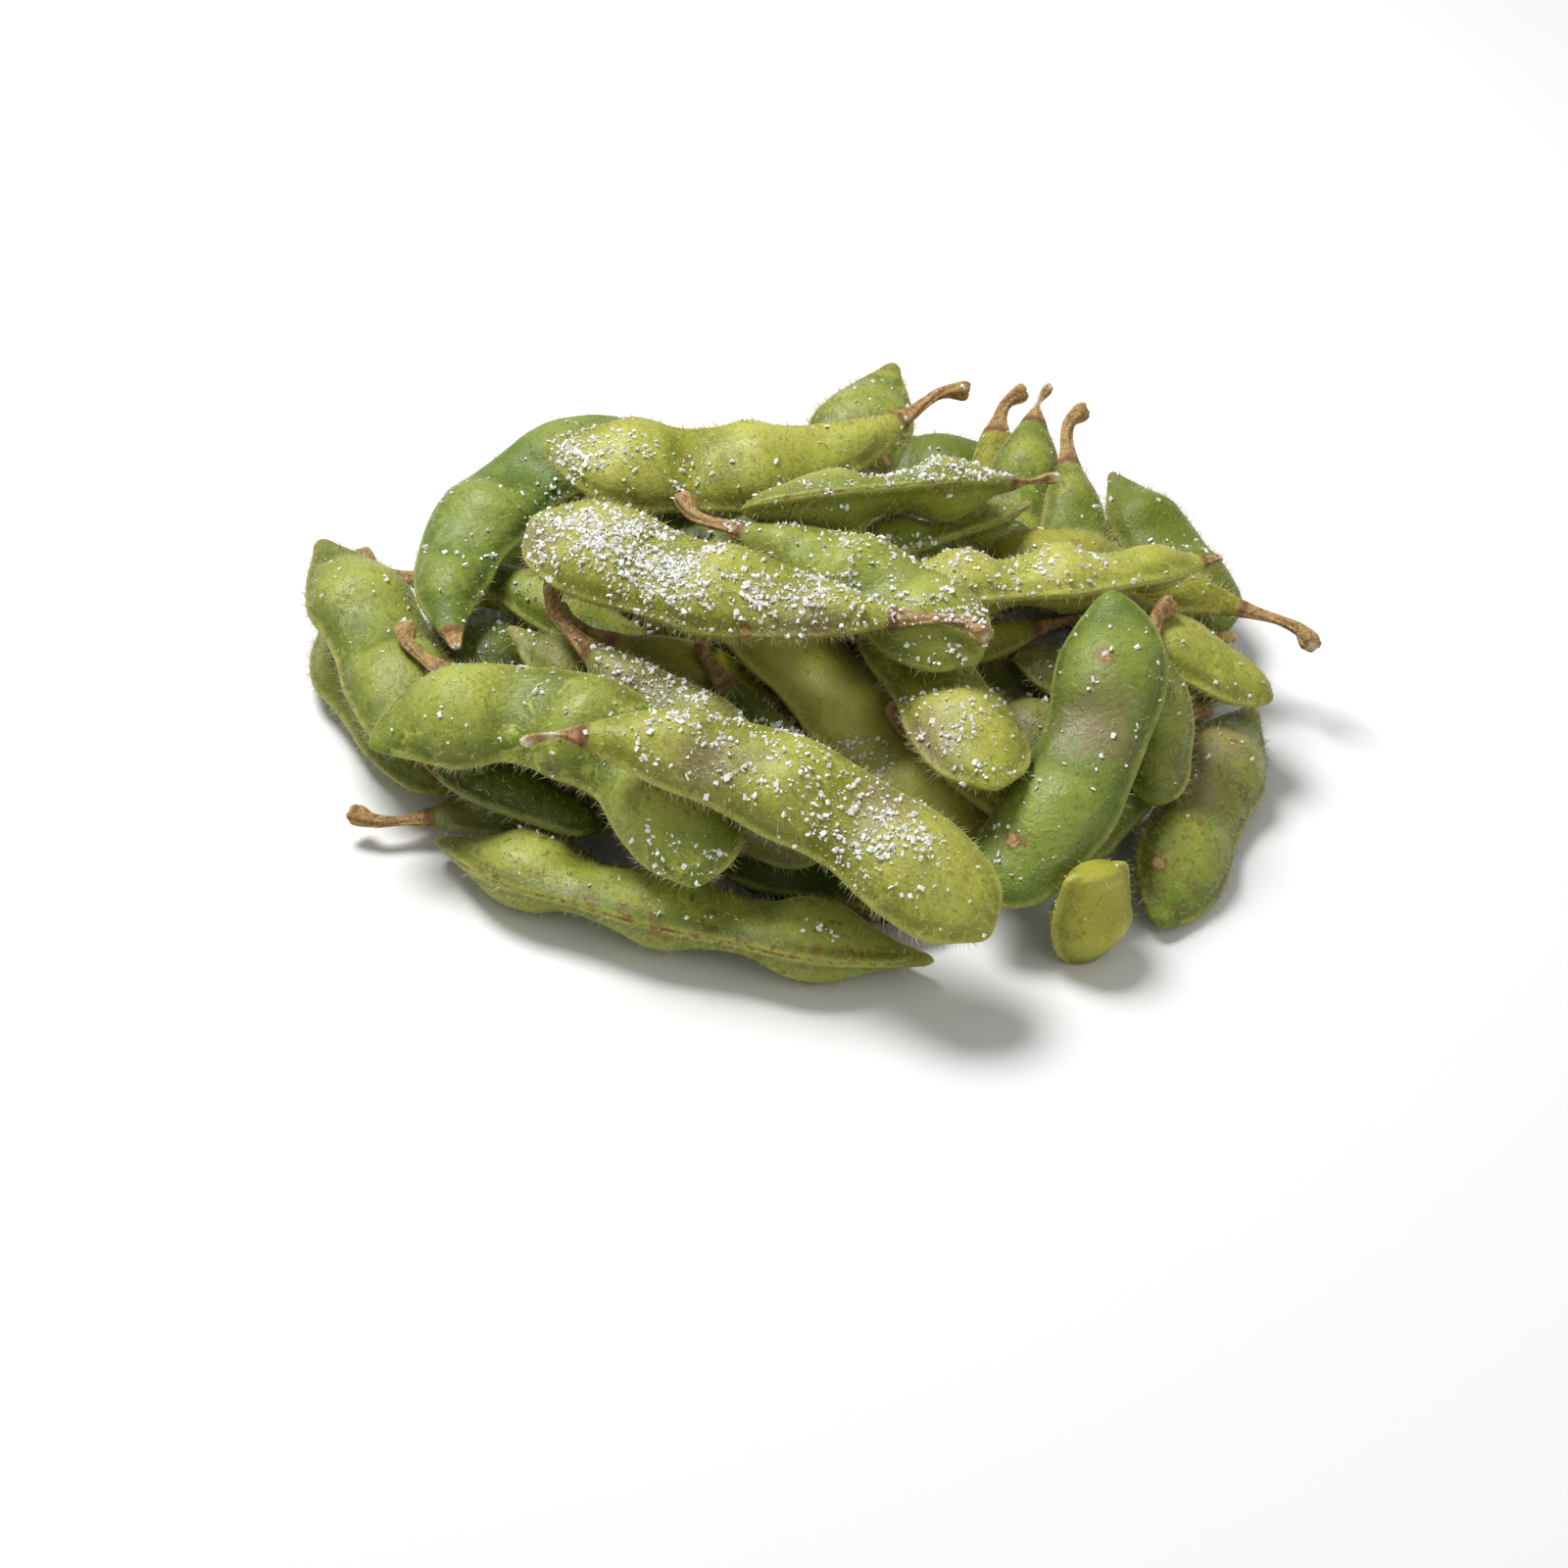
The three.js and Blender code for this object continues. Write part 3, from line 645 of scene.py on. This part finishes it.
def strewn_piece(name, mesh, numbers, spots, frames, corners, finish):
    """Many small shapes as a piece of the heap, each at its spot with its corners in its frame."""
    side, other, up = (direction[:, None] for direction in frames)
    place = spots[:, None] + side * corners[..., :1] + other * corners[..., 1:2]
    place = place + up * corners[..., 2:]
    place[..., 2] = np.maximum(place[..., 2], FLOOR_GAP)
    copy, corner = numbers
    mesh.name = name
    mesh.vertices.foreach_set("co", place[copy, corner].ravel())
    mesh.update()
    mesh.materials.append(finish)
    piece = linked(name, mesh)
    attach(piece, BODY)


# ---------------------------------------------------------------- materials

# Noise patterns: waves per metre, detail, distortion if any, roughness if not ordinary.
NOISES = {
    "clouds": (150, 3.0, 0.8),
    "patches": (420, 5.0, 0.7, 0.7),
    "patch regions": (120, 1.0),
    "pores": (1100, 3.0, 0.5, 0.65),
    "dot regions": (420, 2.0),
    "seam": (420, 3.0, 1.0),
    "stains": (560, 5.0, 0.8, 0.75),
    "stain regions": (110, 1.0),
    "freckles": (620, 2.0, 0.4),
    "vein warp": (210, 2.0),
    "dimples": (480, 3.0, 0.2),
    "fine pores": (2100, 2.0),
    "fibres": (1300, 3.0, 2.0),
    "mark edges": (700, 3.0, 0.8),
    "straw": (800, 4.0, 1.5, 0.65),
    "gloss": (300, 3.0),
    "hair": (400, 2.0),
    "salt": (900, 2.0),
}
ORDINARY_ROUGHNESS = 0.55
DOTS_PER_METRE = 1150

# The veins: how far they slant, how much they wander in mm, and how close they lie.
VEIN_SLANT, VEIN_WARP_MM, VEIN_RATE = 0.9, 6.0, 2.1

# How much each part of the relief counts, and the relief's whole height.
VEIN_HEIGHT, DIMPLE_HEIGHT, PORE_HEIGHT, FIBRE_HEIGHT = 0.1, 0.6, 0.55, 1.8
RELIEF_HEIGHT = 0.3 * MM


def add_node(tree, kind, inputs=None, **settings):
    """A shader node with its settings. An input is a value, or a socket to link."""
    made = tree.nodes.new("ShaderNode" + kind)
    for name, value in settings.items():
        setattr(made, name, value)
    for name, value in (inputs or {}).items():
        if isinstance(value, bpy.types.NodeSocket):
            tree.links.new(value, made.inputs[name])
        else:
            made.inputs[name].default_value = value
    return made


def between(tree, value, low, high, to_low=0.0, to_high=1.0):
    """A value moved from one range to another, smoothly and kept within it."""
    ends = {"From Min": low, "From Max": high, "To Min": to_low, "To Max": to_high}
    inputs = {"Value": value, **ends}
    return add_node(tree, "MapRange", inputs, interpolation_type="SMOOTHSTEP").outputs[0]


def maths(tree, operation, *values):
    """The values joined one after another by one operation."""
    result = values[0]
    for value in values[1:]:
        result = add_node(tree, "Math", {0: result, 1: value}, operation=operation).outputs[0]
    return result


def times(tree, *values):
    """The product of the values."""
    return maths(tree, "MULTIPLY", *values)


def mixed(tree, factor, a, b):
    """Colour a where the factor is 0, and colour b where it is 1."""
    return add_node(tree, "Mix", {0: factor, 6: a, 7: b}, data_type="RGBA").outputs[2]


def layered(tree, colour, layers):
    """A colour with others laid over it in turn, each as (how much, colour)."""
    for factor, over in layers:
        colour = mixed(tree, factor, colour, over)
    return colour


def noise_value(tree, place, name):
    """One of the noise patterns."""
    given = dict(zip(("Scale", "Detail", "Distortion", "Roughness"), NOISES[name]))
    inputs = {"Vector": place, "Roughness": ORDINARY_ROUGHNESS, **given}
    return add_node(tree, "TexNoise", inputs).outputs[0]


def pattern(tree, place, name, low, high, to_low=0.0, to_high=1.0):
    """A mask from one of the noise patterns, which grows from low to high."""
    return between(tree, noise_value(tree, place, name), low, high, to_low, to_high)


def group_tree(name, inputs, outputs):
    """An empty node group with its sockets, given by kind, and its two end nodes."""
    tree = bpy.data.node_groups.new(name, "ShaderNodeTree")
    kinds = {"value": "NodeSocketFloat", "colour": "NodeSocketColor", "vector": "NodeSocketVector"}
    for way, sockets in (("INPUT", inputs), ("OUTPUT", outputs)):
        for kind, labels in sockets.items():
            for label in labels:
                tree.interface.new_socket(label, in_out=way, socket_type=kinds[kind])
    return tree, tree.nodes.new("NodeGroupInput").outputs, tree.nodes.new("NodeGroupOutput").inputs


def build_green_group():
    """Pod green: broad deep and light clouds, soft yellowish patches, fine pale flecks, painted
    highlights and painted shade.
    """
    tree, given, result = group_tree(
        "Pod Green",
        {"vector": ["Place"], "colour": ["Deep", "Middle", "Light"],
         "value": ["Mottle", "Shade", "Bean", "Glow", "Seam mm"]},
        {"colour": ["Colour"]},
    )
    place, glow = given["Place"], given["Glow"]
    clouds = pattern(tree, place, "clouds", 0.34, 0.66)
    # Painted highlight: the bean bulges are painted in the light tone.
    bean = between(tree, given["Bean"], -0.4, 0.9, 0.0, 0.5)
    # Painted shade: the skin is painted deeper towards the seams, where a pod's sides turn from the
    # light.
    painted_edge_shade = between(tree, given["Seam mm"], 4.6, 0.8, 0.0, 0.4)
    # The painted highlight patches also widen the yellowish mottle patches.
    regions = maths(tree, "MAXIMUM", pattern(tree, place, "patch regions", 0.42, 0.58), glow)
    patches = pattern(tree, place, "patches", 0.48, 0.64)
    patches = times(tree, patches, regions, given["Mottle"])
    pores = pattern(tree, place, "pores", 0.52, 0.68, 0.0, 0.5)
    cells = add_node(tree, "TexVoronoi", {"Vector": place, "Scale": DOTS_PER_METRE})
    dots = between(tree, cells.outputs["Distance"], 0.26, 0.14, 0.0, 0.6)
    dots = times(tree, dots, pattern(tree, place, "dot regions", 0.44, 0.56, 0.25, 1.0))
    # Each pod paler or darker as a whole: its own tone, and on pale_under painted light.
    paler, darker = (between(tree, given["Shade"], 0.0, full) for full in (1.0, -1.0))
    deep, middle, light = given["Deep"], given["Middle"], given["Light"]
    # The light tone over bean bulges and highlight marks is painted highlight; the deep tone near
    # the seams is painted shade.
    colour = layered(tree, deep, (
        (clouds, middle), (0.35, middle), (bean, light), (painted_edge_shade, deep), (patches, light),
        (times(tree, glow, 0.6), light), (pores, deep), (dots, light), (paler, light),
        (darker, deep),
    ))
    tree.links.new(colour, result["Colour"])
    return tree


def build_seam_group():
    """Masks that follow a pod's seam: the pale rim, the brown line in it and stains beside it."""
    tree, given, result = group_tree(
        "Pod Seam",
        {"vector": ["Place"], "value": ["Seam mm", "Stain", "Band"]},
        {"value": ["Rim", "Line", "Stains", "Strip"]},
    )
    place, seam = given["Place"], given["Seam mm"]
    uneven = noise_value(tree, place, "seam")
    rim = between(tree, seam, 1.0, 0.35)
    rim = times(tree, rim, between(tree, uneven, 0.25, 0.6, 0.35, 0.85))
    line = times(tree, between(tree, seam, 0.32, 0.08), between(tree, uneven, 0.46, 0.62))
    strip = times(tree, between(tree, seam, 0.25, 0.6), between(tree, seam, 1.9, 1.5))
    stains = times(
        tree, pattern(tree, place, "stains", 0.52, 0.62),
        pattern(tree, place, "stain regions", 0.42, 0.56), between(tree, seam, 4.2, 0.8),
    )
    freckles = pattern(tree, place, "freckles", 0.63, 0.68, 0.0, 0.8)
    stains = maths(tree, "MAXIMUM", stains, freckles)
    for mask, name in (
        (rim, "Rim"), (times(tree, line, given["Stain"]), "Line"),
        (times(tree, stains, given["Stain"]), "Stains"),
        (times(tree, strip, given["Band"]), "Strip"),
    ):
        tree.links.new(mask, result[name])
    return tree


def build_relief_group():
    """Fine skin relief: oblique veins, small dimples and pores, as a height."""
    tree, given, result = group_tree(
        "Pod Relief",
        {"vector": ["Place"], "value": ["Run mm", "Seam mm", "Dry"]},
        {"value": ["Height"]},
    )
    place = given["Place"]
    slant = times(tree, given["Seam mm"], VEIN_SLANT)
    warp = times(tree, noise_value(tree, place, "vein warp"), VEIN_WARP_MM)
    phase = times(tree, maths(tree, "ADD", given["Run mm"], slant, warp), VEIN_RATE)
    veins = between(tree, maths(tree, "SINE", phase, 0.0), 0.2, 1.0)
    height = maths(
        tree, "ADD", times(tree, veins, VEIN_HEIGHT),
        times(tree, noise_value(tree, place, "dimples"), DIMPLE_HEIGHT),
        times(tree, noise_value(tree, place, "fine pores"), PORE_HEIGHT),
        times(tree, noise_value(tree, place, "fibres"), given["Dry"], FIBRE_HEIGHT),
    )
    tree.links.new(height, result["Height"])
    return tree


def new_material(name):
    """A material with an empty node tree, and its Object coordinates."""
    material = bpy.data.materials.new(name)
    material.use_nodes = True
    material.node_tree.nodes.clear()
    place = add_node(material.node_tree, "TexCoord").outputs["Object"]
    return material, material.node_tree, place


def surface(tree, inputs):
    """A Principled shader with these inputs as the material's surface."""
    shader = add_node(tree, "BsdfPrincipled", inputs)
    add_node(tree, "OutputMaterial", {"Surface": shader.outputs[0]})


def skin_material(slot, groups, colours):
    """Pod skin in the tones of one slot. The groups are those for green, seam and relief."""
    deep, middle, light = (shown_colour(*tone) + (1.0,) for tone in TONES[slot])
    material, tree, place = new_material(slot.replace("pod_", "Pod skin "))
    read = {key: add_node(tree, "Attribute", attribute_name=key).outputs["Fac"]
            for key in VARIED + STEADY}
    known = {"Place": place, "Deep": deep, "Middle": middle, "Light": light}
    known.update((key.capitalize().replace("_", " "), value) for key, value in read.items())

    def fed(group):
        """The outputs of a group whose every input gets what is known by its name."""
        names = [item.name for item in group.interface.items_tree if item.in_out == "INPUT"]
        inputs = {name: known[name] for name in names}
        return add_node(tree, "Group", inputs, node_tree=group).outputs

    green, seam, relief = (fed(group) for group in groups)
    tones = {key: tuple(getattr(colours, key)) + (1.0,) for key in colours.__annotations__}

    uneven = noise_value(tree, place, "mark edges")
    blush = times(tree, read["blush"], between(tree, uneven, 0.3, 0.6, 0.35, 0.95))
    scar = maths(tree, "ADD", read["scar"], between(tree, uneven, 0.2, 0.8, -0.3, 0.3))
    scar_ring = between(tree, scar, 0.2, 0.5, 0.0, 0.7)
    scar_middle = between(tree, scar, 0.45, 0.7, 0.0, 0.9)
    strip, rim, stains, line = (
        times(tree, seam[name], strength)
        for name, strength in (("Strip", 0.7), ("Rim", 0.65), ("Stains", 0.8), ("Line", 0.85))
    )
    strip_tone, rim_tone = mixed(tree, 0.5, deep, middle), mixed(tree, 0.45, light, tones["rim"])
    streaks = pattern(tree, place, "straw", 0.36, 0.6)
    straw = layered(tree, tones["collar"], (
        (streaks, tones["stalk"]), (0.3, tones["stalk"]), (read["thin"], tones["thread"]),
        (times(tree, read["torn"], 0.7), tones["chalk"]),
    ))
    colour = layered(tree, green["Colour"], (
        (blush, tones["blush"]), (strip, strip_tone), (rim, rim_tone), (stains, tones["stain"]),
        (line, tones["stain"]), (scar_ring, tones["stain"]), (scar_middle, tones["stalk"]),
        (read["dry"], straw), (times(tree, read["collar"], 0.85), tones["collar"]),
    ))
    rough = maths(tree, "ADD", pattern(tree, place, "gloss", 0.3, 0.7, 0.36, 0.56),
                  times(tree, read["dry"], 0.25))
    bump = add_node(
        tree, "Bump", {"Strength": 0.8, "Distance": RELIEF_HEIGHT, "Height": relief["Height"]})
    surface(tree, {
        "Base Color": colour, "Roughness": rough, "Normal": bump.outputs[0],
        "Subsurface Weight": 0.18, "Subsurface Radius": (0.6, 1.0, 0.25),
        "Subsurface Scale": 1.2 * MM, "Specular IOR Level": 0.36, "Sheen Weight": 0.08,
        "Sheen Roughness": 0.45, "Sheen Tint": (0.86, 0.82, 0.5, 1.0)})
    return material


def two_tone_material(name, colour, darker, pattern_name, roughness, subsurface):
    """A material that varies between a colour and a darker one, which is that share of it."""
    material, tree, place = new_material(name)
    spread = pattern(tree, place, pattern_name, 0.35, 0.65)
    tone = mixed(tree, spread, (*colour, 1.0), (*(c * darker for c in colour), 1.0))
    surface(tree, {
        "Base Color": tone, "Roughness": roughness, "Subsurface Weight": subsurface,
        "Subsurface Radius": (1.0, 1.0, 1.0), "Subsurface Scale": 0.4 * MM})
    return material


# ---------------------------------------------------------------- the photographed view


def camera_rays(stage):
    """The camera's place, the direction behind it, and a function from a pixel to its ray."""
    back = Vector((0, -math.cos(stage.pitch), math.sin(stage.pitch)))
    eye = stage.aim + back * stage.distance
    right, up = Vector((1, 0, 0)), Vector((0, math.sin(stage.pitch), math.cos(stage.pitch)))

    def through(across, down):
        half = PHOTO_SIDE / 2
        return (right * (across - half) - up * (down - half) - back * PHOTO_FOCAL).normalized()

    return eye, back, through


def heap_tree(meshes):
    """All of these meshes as one tree that rays are cast against."""
    shape = bmesh.new()
    for mesh in meshes:
        shape.from_mesh(mesh)
    tree = BVHTree.FromBMesh(shape)
    shape.free()
    return tree


def seen_spot(tree, view, across, down):
    """The place on the heap that shows at a photograph pixel."""
    eye, _, through = view
    spot = tree.ray_cast(eye, through(across, down))[0]
    if spot is None:
        raise RuntimeError(f"no pod at {across}, {down}")
    return np.array(spot)


def placed_marks(stage):
    """Each mark's place on the solids, its radius and its kind."""
    tree = heap_tree([node.data for node in frame["nodes"].values()])
    view = camera_rays(stage)
    return [
        (seen_spot(tree, view, across, down), radius * MM, kind)
        for kind, marks in MARKS.items() for across, down, radius in marks
    ]


# ---------------------------------------------------------------- operators

SKINS = {}  # node: what pod_skin returned
SLOTS = {row["node"]: row["material_slot"] for row in frame["record"]["subparts"]}
NOISE_STEP = 3.7  # moves each pod's unevenness away from the last one's

# Hairs: how many more stand at a seam and on a blush, how far from a seam that reaches, and
# how they lean, scatter, vary and start below the skin.
SEAM_FUR, SEAM_FUR_MM, BLUSH_FUR = 2.6, 1.3, 2
LEAN, SCATTER = (0.1, 0.6), 0.32
HAIR_SHARES, SEAM_HAIR_SHARE, SEAM_HAIR_MM = (0.35, 0.75), 0.25, 1.5
HAIR_THICKNESS = (0.75, 1.2)
HAIR_SUNK = 0.04 * MM

# Salt: how wide a fall spreads, the grains of a clump, the share that clumps, the steepest
# and lowest places where it stays, how rare large grains are, and the shapes of grains.
FALL_SPREAD, CLUMP_GRAINS, CLUMPED = 0.8, 18, 0.6
STEEPEST, LOWEST = 0.25, 8 * MM
DROP_HEIGHT = 0.02
RARITY = 3.4
GRAIN_SIDES = ((0.6, 0.4, 0.2), (1.3, 1.1, 0.7))
GRAIN_CORNERS = (0.5, 1.1)
GRAIN_RISE = 0.18


class EDAMAME_OT_pods(bpy.types.Operator):
    """Lay a fine skin over every pod's solid"""

    bl_idname = "edamame.pods"
    bl_label = "Pods"

    def execute(self, context):
        settings, colours = context.scene.pod_skin, context.scene.pod_colours
        groups = build_green_group(), build_seam_group(), build_relief_group()
        finishes = {slot: skin_material(slot, groups, colours) for slot in TONES}
        marks = placed_marks(context.scene.pod_stage)
        for number, node in enumerate(sorted(frame["nodes"])):
            plain = node.replace("pod_", "", 1)
            look = {**ORDINARY, **LOOKS.get(plain, {})}
            skin = pod_skin(node, settings, number * NOISE_STEP, look["band"])
            skin.update(marks_on(skin["grid"], marks), fur=look["fur"])
            piece = skin_piece("skin_" + plain, skin, look)
            piece.data.materials.append(finishes[SLOTS[node]])
            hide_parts(node)
            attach(piece, BODY)
            SKINS[node] = skin
        return {"FINISHED"}


class EDAMAME_OT_hairs(bpy.types.Operator):
    """Grow short dry hairs on the pods, thickest along their seams"""

    bl_idname = "edamame.hairs"
    bl_label = "Hairs"

    def roots(self, node, settings, rng):
        """Where the hairs of one pod stand, which way they point and how long they are."""
        skin = SKINS[node]
        grid, facing, along = skin["grid"], skin["facing"], skin["along"]
        beside = np.roll(grid, -1, axis=1)
        wide = beside - grid
        long = np.diff(grid, axis=0)
        area = np.linalg.norm(np.cross(wide[:-1], long), axis=2)
        keen = 1 + SEAM_FUR * np.exp(-skin["seam_mm"][:-1] / SEAM_FUR_MM)
        keen = (keen + BLUSH_FUR * skin["blush"][:-1]) * (1 - skin["dry"][:-1])
        weight = (area * keen).ravel()
        count = int(area.sum() / MM**2 * settings.density * skin["fur"])
        cell = rng.choice(weight.size, size=count, p=weight / weight.sum())
        j, i = np.unravel_index(cell, area.shape)
        u, v = rng.random(count)[:, None], rng.random(count)[:, None]
        foot = grid[j, i] + u * wide[j, i] + v * long[j, i]
        lean = along[j, i] * rng.choice((-1.0, 1.0)) * rng.uniform(*LEAN, count)[:, None]
        aim = facing[j, i] + lean + rng.normal(0, SCATTER, (count, 3))
        seamy = np.exp(-skin["seam_mm"][j, i] / SEAM_HAIR_MM)
        share = rng.uniform(*HAIR_SHARES, count) + SEAM_HAIR_SHARE * seamy * rng.random(count)
        return foot - facing[j, i] * HAIR_SUNK, aim, settings.length * share

    def execute(self, context):
        settings = context.scene.pod_hairs
        finish = two_tone_material("Dry hair", settings.colour, 0.62, "hair", 0.55, 0.0)
        for order, slot in enumerate(TONES):
            rng = np.random.default_rng(SEED + order)
            grown = [self.roots(n, settings, rng) for n in sorted(SKINS)
                     if SLOTS[n] == slot and n not in BURIED]
            if not grown:
                raise RuntimeError(f"no pod has the finish {slot}")
            foot, aim, size = (np.concatenate(part) for part in zip(*grown))
            one, mesh, numbers = many(one_hair, len(foot))
            frames = frames_for(aim, rng)
            thick = settings.radius * rng.uniform(*HAIR_THICKNESS, len(foot))
            corners = one[None] * np.stack([thick, thick, size], axis=1)[:, None]
            name = slot.replace("pod_", "hairs_")
            strewn_piece(name, mesh, numbers, foot, frames, corners, finish)
        return {"FINISHED"}


class EDAMAME_OT_salt(bpy.types.Operator):
    """Strew salt over the heap from above, most where the photographed pods are white"""

    bl_idname = "edamame.salt"
    bl_label = "Salt"

    def execute(self, context):
        settings = context.scene.pod_salt
        rng = np.random.default_rng(SALT_SEED)
        tree = heap_tree([piece.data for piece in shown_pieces() if piece.name.startswith("skin_")])
        view = camera_rays(context.scene.pod_stage)
        low, high = FRAME_BOX
        falls = []
        for across, down, spread, grains in SALT_FALLS:
            middle = seen_spot(tree, view, across, down)[:2]
            spread_out = middle + rng.normal(0, spread * MM * FALL_SPREAD, (grains, 2))
            clumps = spread_out[rng.integers(0, max(3, grains // CLUMP_GRAINS), grains)]
            clumps = clumps + rng.normal(0, settings.clump, (grains, 2))
            falls.append(np.where(rng.random((grains, 1)) < CLUMPED, clumps, spread_out))
        falls.append(rng.uniform(low[:2], high[:2], (settings.stray, 2)))
        landed = []
        for x, y in np.concatenate(falls):
            above = Vector((x, y, high[2] + DROP_HEIGHT))
            hit, facing, _, _ = tree.ray_cast(above, Vector((0, 0, -1)))
            if hit is not None and facing.z > STEEPEST and hit.z > LOWEST:
                landed.append((*hit, *facing))
        spot, facing = np.split(np.array(landed), 2, axis=1)
        count = len(spot)
        sizes = settings.largest - settings.smallest
        size = settings.smallest + sizes * rng.random(count) ** RARITY
        one, mesh, numbers = many(one_grain, count)
        frames = frames_for(rng.normal(size=(count, 3)), rng)
        stretch = rng.uniform(*GRAIN_SIDES, (count, 3))[:, None]
        corners = one[None] * stretch * rng.uniform(*GRAIN_CORNERS, (count, len(one), 1))
        corners = corners * size[:, None, None]
        spot = spot + facing * size[:, None] * GRAIN_RISE
        finish = two_tone_material("Salt", settings.colour, 0.93, "salt", 0.32, 0.25)
        strewn_piece("salt_grains", mesh, numbers, spot, frames, corners, finish)
        return {"FINISHED"}


class EDAMAME_OT_stage(bpy.types.Operator):
    """Set a pale floor, soft studio light and the camera"""

    bl_idname = "edamame.stage"
    bl_label = "Stage"

    def light(self, name, place, size, power):
        """A round soft lamp that points at the heap."""
        lamp = bpy.data.lights.new(name, "AREA")
        lamp.shape, lamp.size, lamp.energy = "DISK", size, power
        held = linked(name, lamp)
        held.location = place
        towards = Vector(LAMP_TARGET) - Vector(place)
        held.rotation_euler = towards.to_track_quat("-Z", "Y").to_euler()

    def execute(self, context):
        scene, stage = context.scene, context.scene.pod_stage
        shape = bmesh.new()
        bmesh.ops.create_grid(shape, x_segments=1, y_segments=1, size=FLOOR_REACH)
        mesh = bpy.data.meshes.new("floor")
        shape.to_mesh(mesh)
        shape.free()
        linked("floor", mesh)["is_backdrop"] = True
        pale, tree, _ = new_material("Pale floor")
        surface(tree, {
            "Base Color": (*stage.floor, 1.0), "Roughness": 0.9, "Specular IOR Level": 0.1})
        mesh.materials.append(pale)
        world = bpy.data.worlds.new("Studio")
        world.use_nodes = True
        sky = world.node_tree.nodes["Background"]
        sky.inputs["Color"].default_value = (1.0, 1.0, 1.0, 1.0)
        sky.inputs["Strength"].default_value = stage.sky
        scene.world = world
        for name, (place, size) in LAMPS.items():
            self.light(name, place, size, getattr(stage, name))
        eye, back, _ = camera_rays(stage)
        lens = bpy.data.cameras.new("camera")
        lens.sensor_width = 36.0
        lens.lens = lens.sensor_width * PHOTO_FOCAL / PHOTO_SIDE
        lens.clip_start, lens.clip_end = 0.01, 50
        camera = linked("camera", lens)
        camera.location = eye
        camera.rotation_euler = (-back).to_track_quat("-Z", "Y").to_euler()
        scene.camera = camera
        scene.view_settings.view_transform = "Standard"
        return {"FINISHED"}


class EDAMAME_PT_panel(bpy.types.Panel):
    """Settings and steps for the heap"""

    bl_label = "Edamame"
    bl_space_type = "VIEW_3D"
    bl_region_type = "UI"
    bl_category = "Edamame"

    def draw(self, context):
        for group, operator in (
            ("pod_skin", "edamame.pods"), ("pod_colours", None), ("pod_hairs", "edamame.hairs"),
            ("pod_salt", "edamame.salt"), ("pod_stage", "edamame.stage"),
        ):
            box = self.layout.box()
            settings = getattr(context.scene, group)
            for name in settings.__annotations__:
                box.prop(settings, name)
            if operator:
                box.operator(operator)


SETTINGS = {
    "pod_skin": PodSkinSettings, "pod_colours": PodColourSettings, "pod_hairs": HairSettings,
    "pod_salt": SaltSettings, "pod_stage": StageSettings,
}
OPERATORS = (EDAMAME_OT_pods, EDAMAME_OT_hairs, EDAMAME_OT_salt, EDAMAME_OT_stage)


def register():
    for kind in (*SETTINGS.values(), *OPERATORS, EDAMAME_PT_panel):
        bpy.utils.register_class(kind)
    for name, kind in SETTINGS.items():
        setattr(bpy.types.Scene, name, PointerProperty(type=kind))


def unregister():
    for name in SETTINGS:
        delattr(bpy.types.Scene, name)
    for kind in reversed((*SETTINGS.values(), *OPERATORS, EDAMAME_PT_panel)):
        bpy.utils.unregister_class(kind)


def main():
    register()
    bpy.ops.edamame.pods()
    bpy.ops.edamame.hairs()
    bpy.ops.edamame.salt()
    bpy.ops.edamame.stage()


if __name__ == "__main__":
    main()
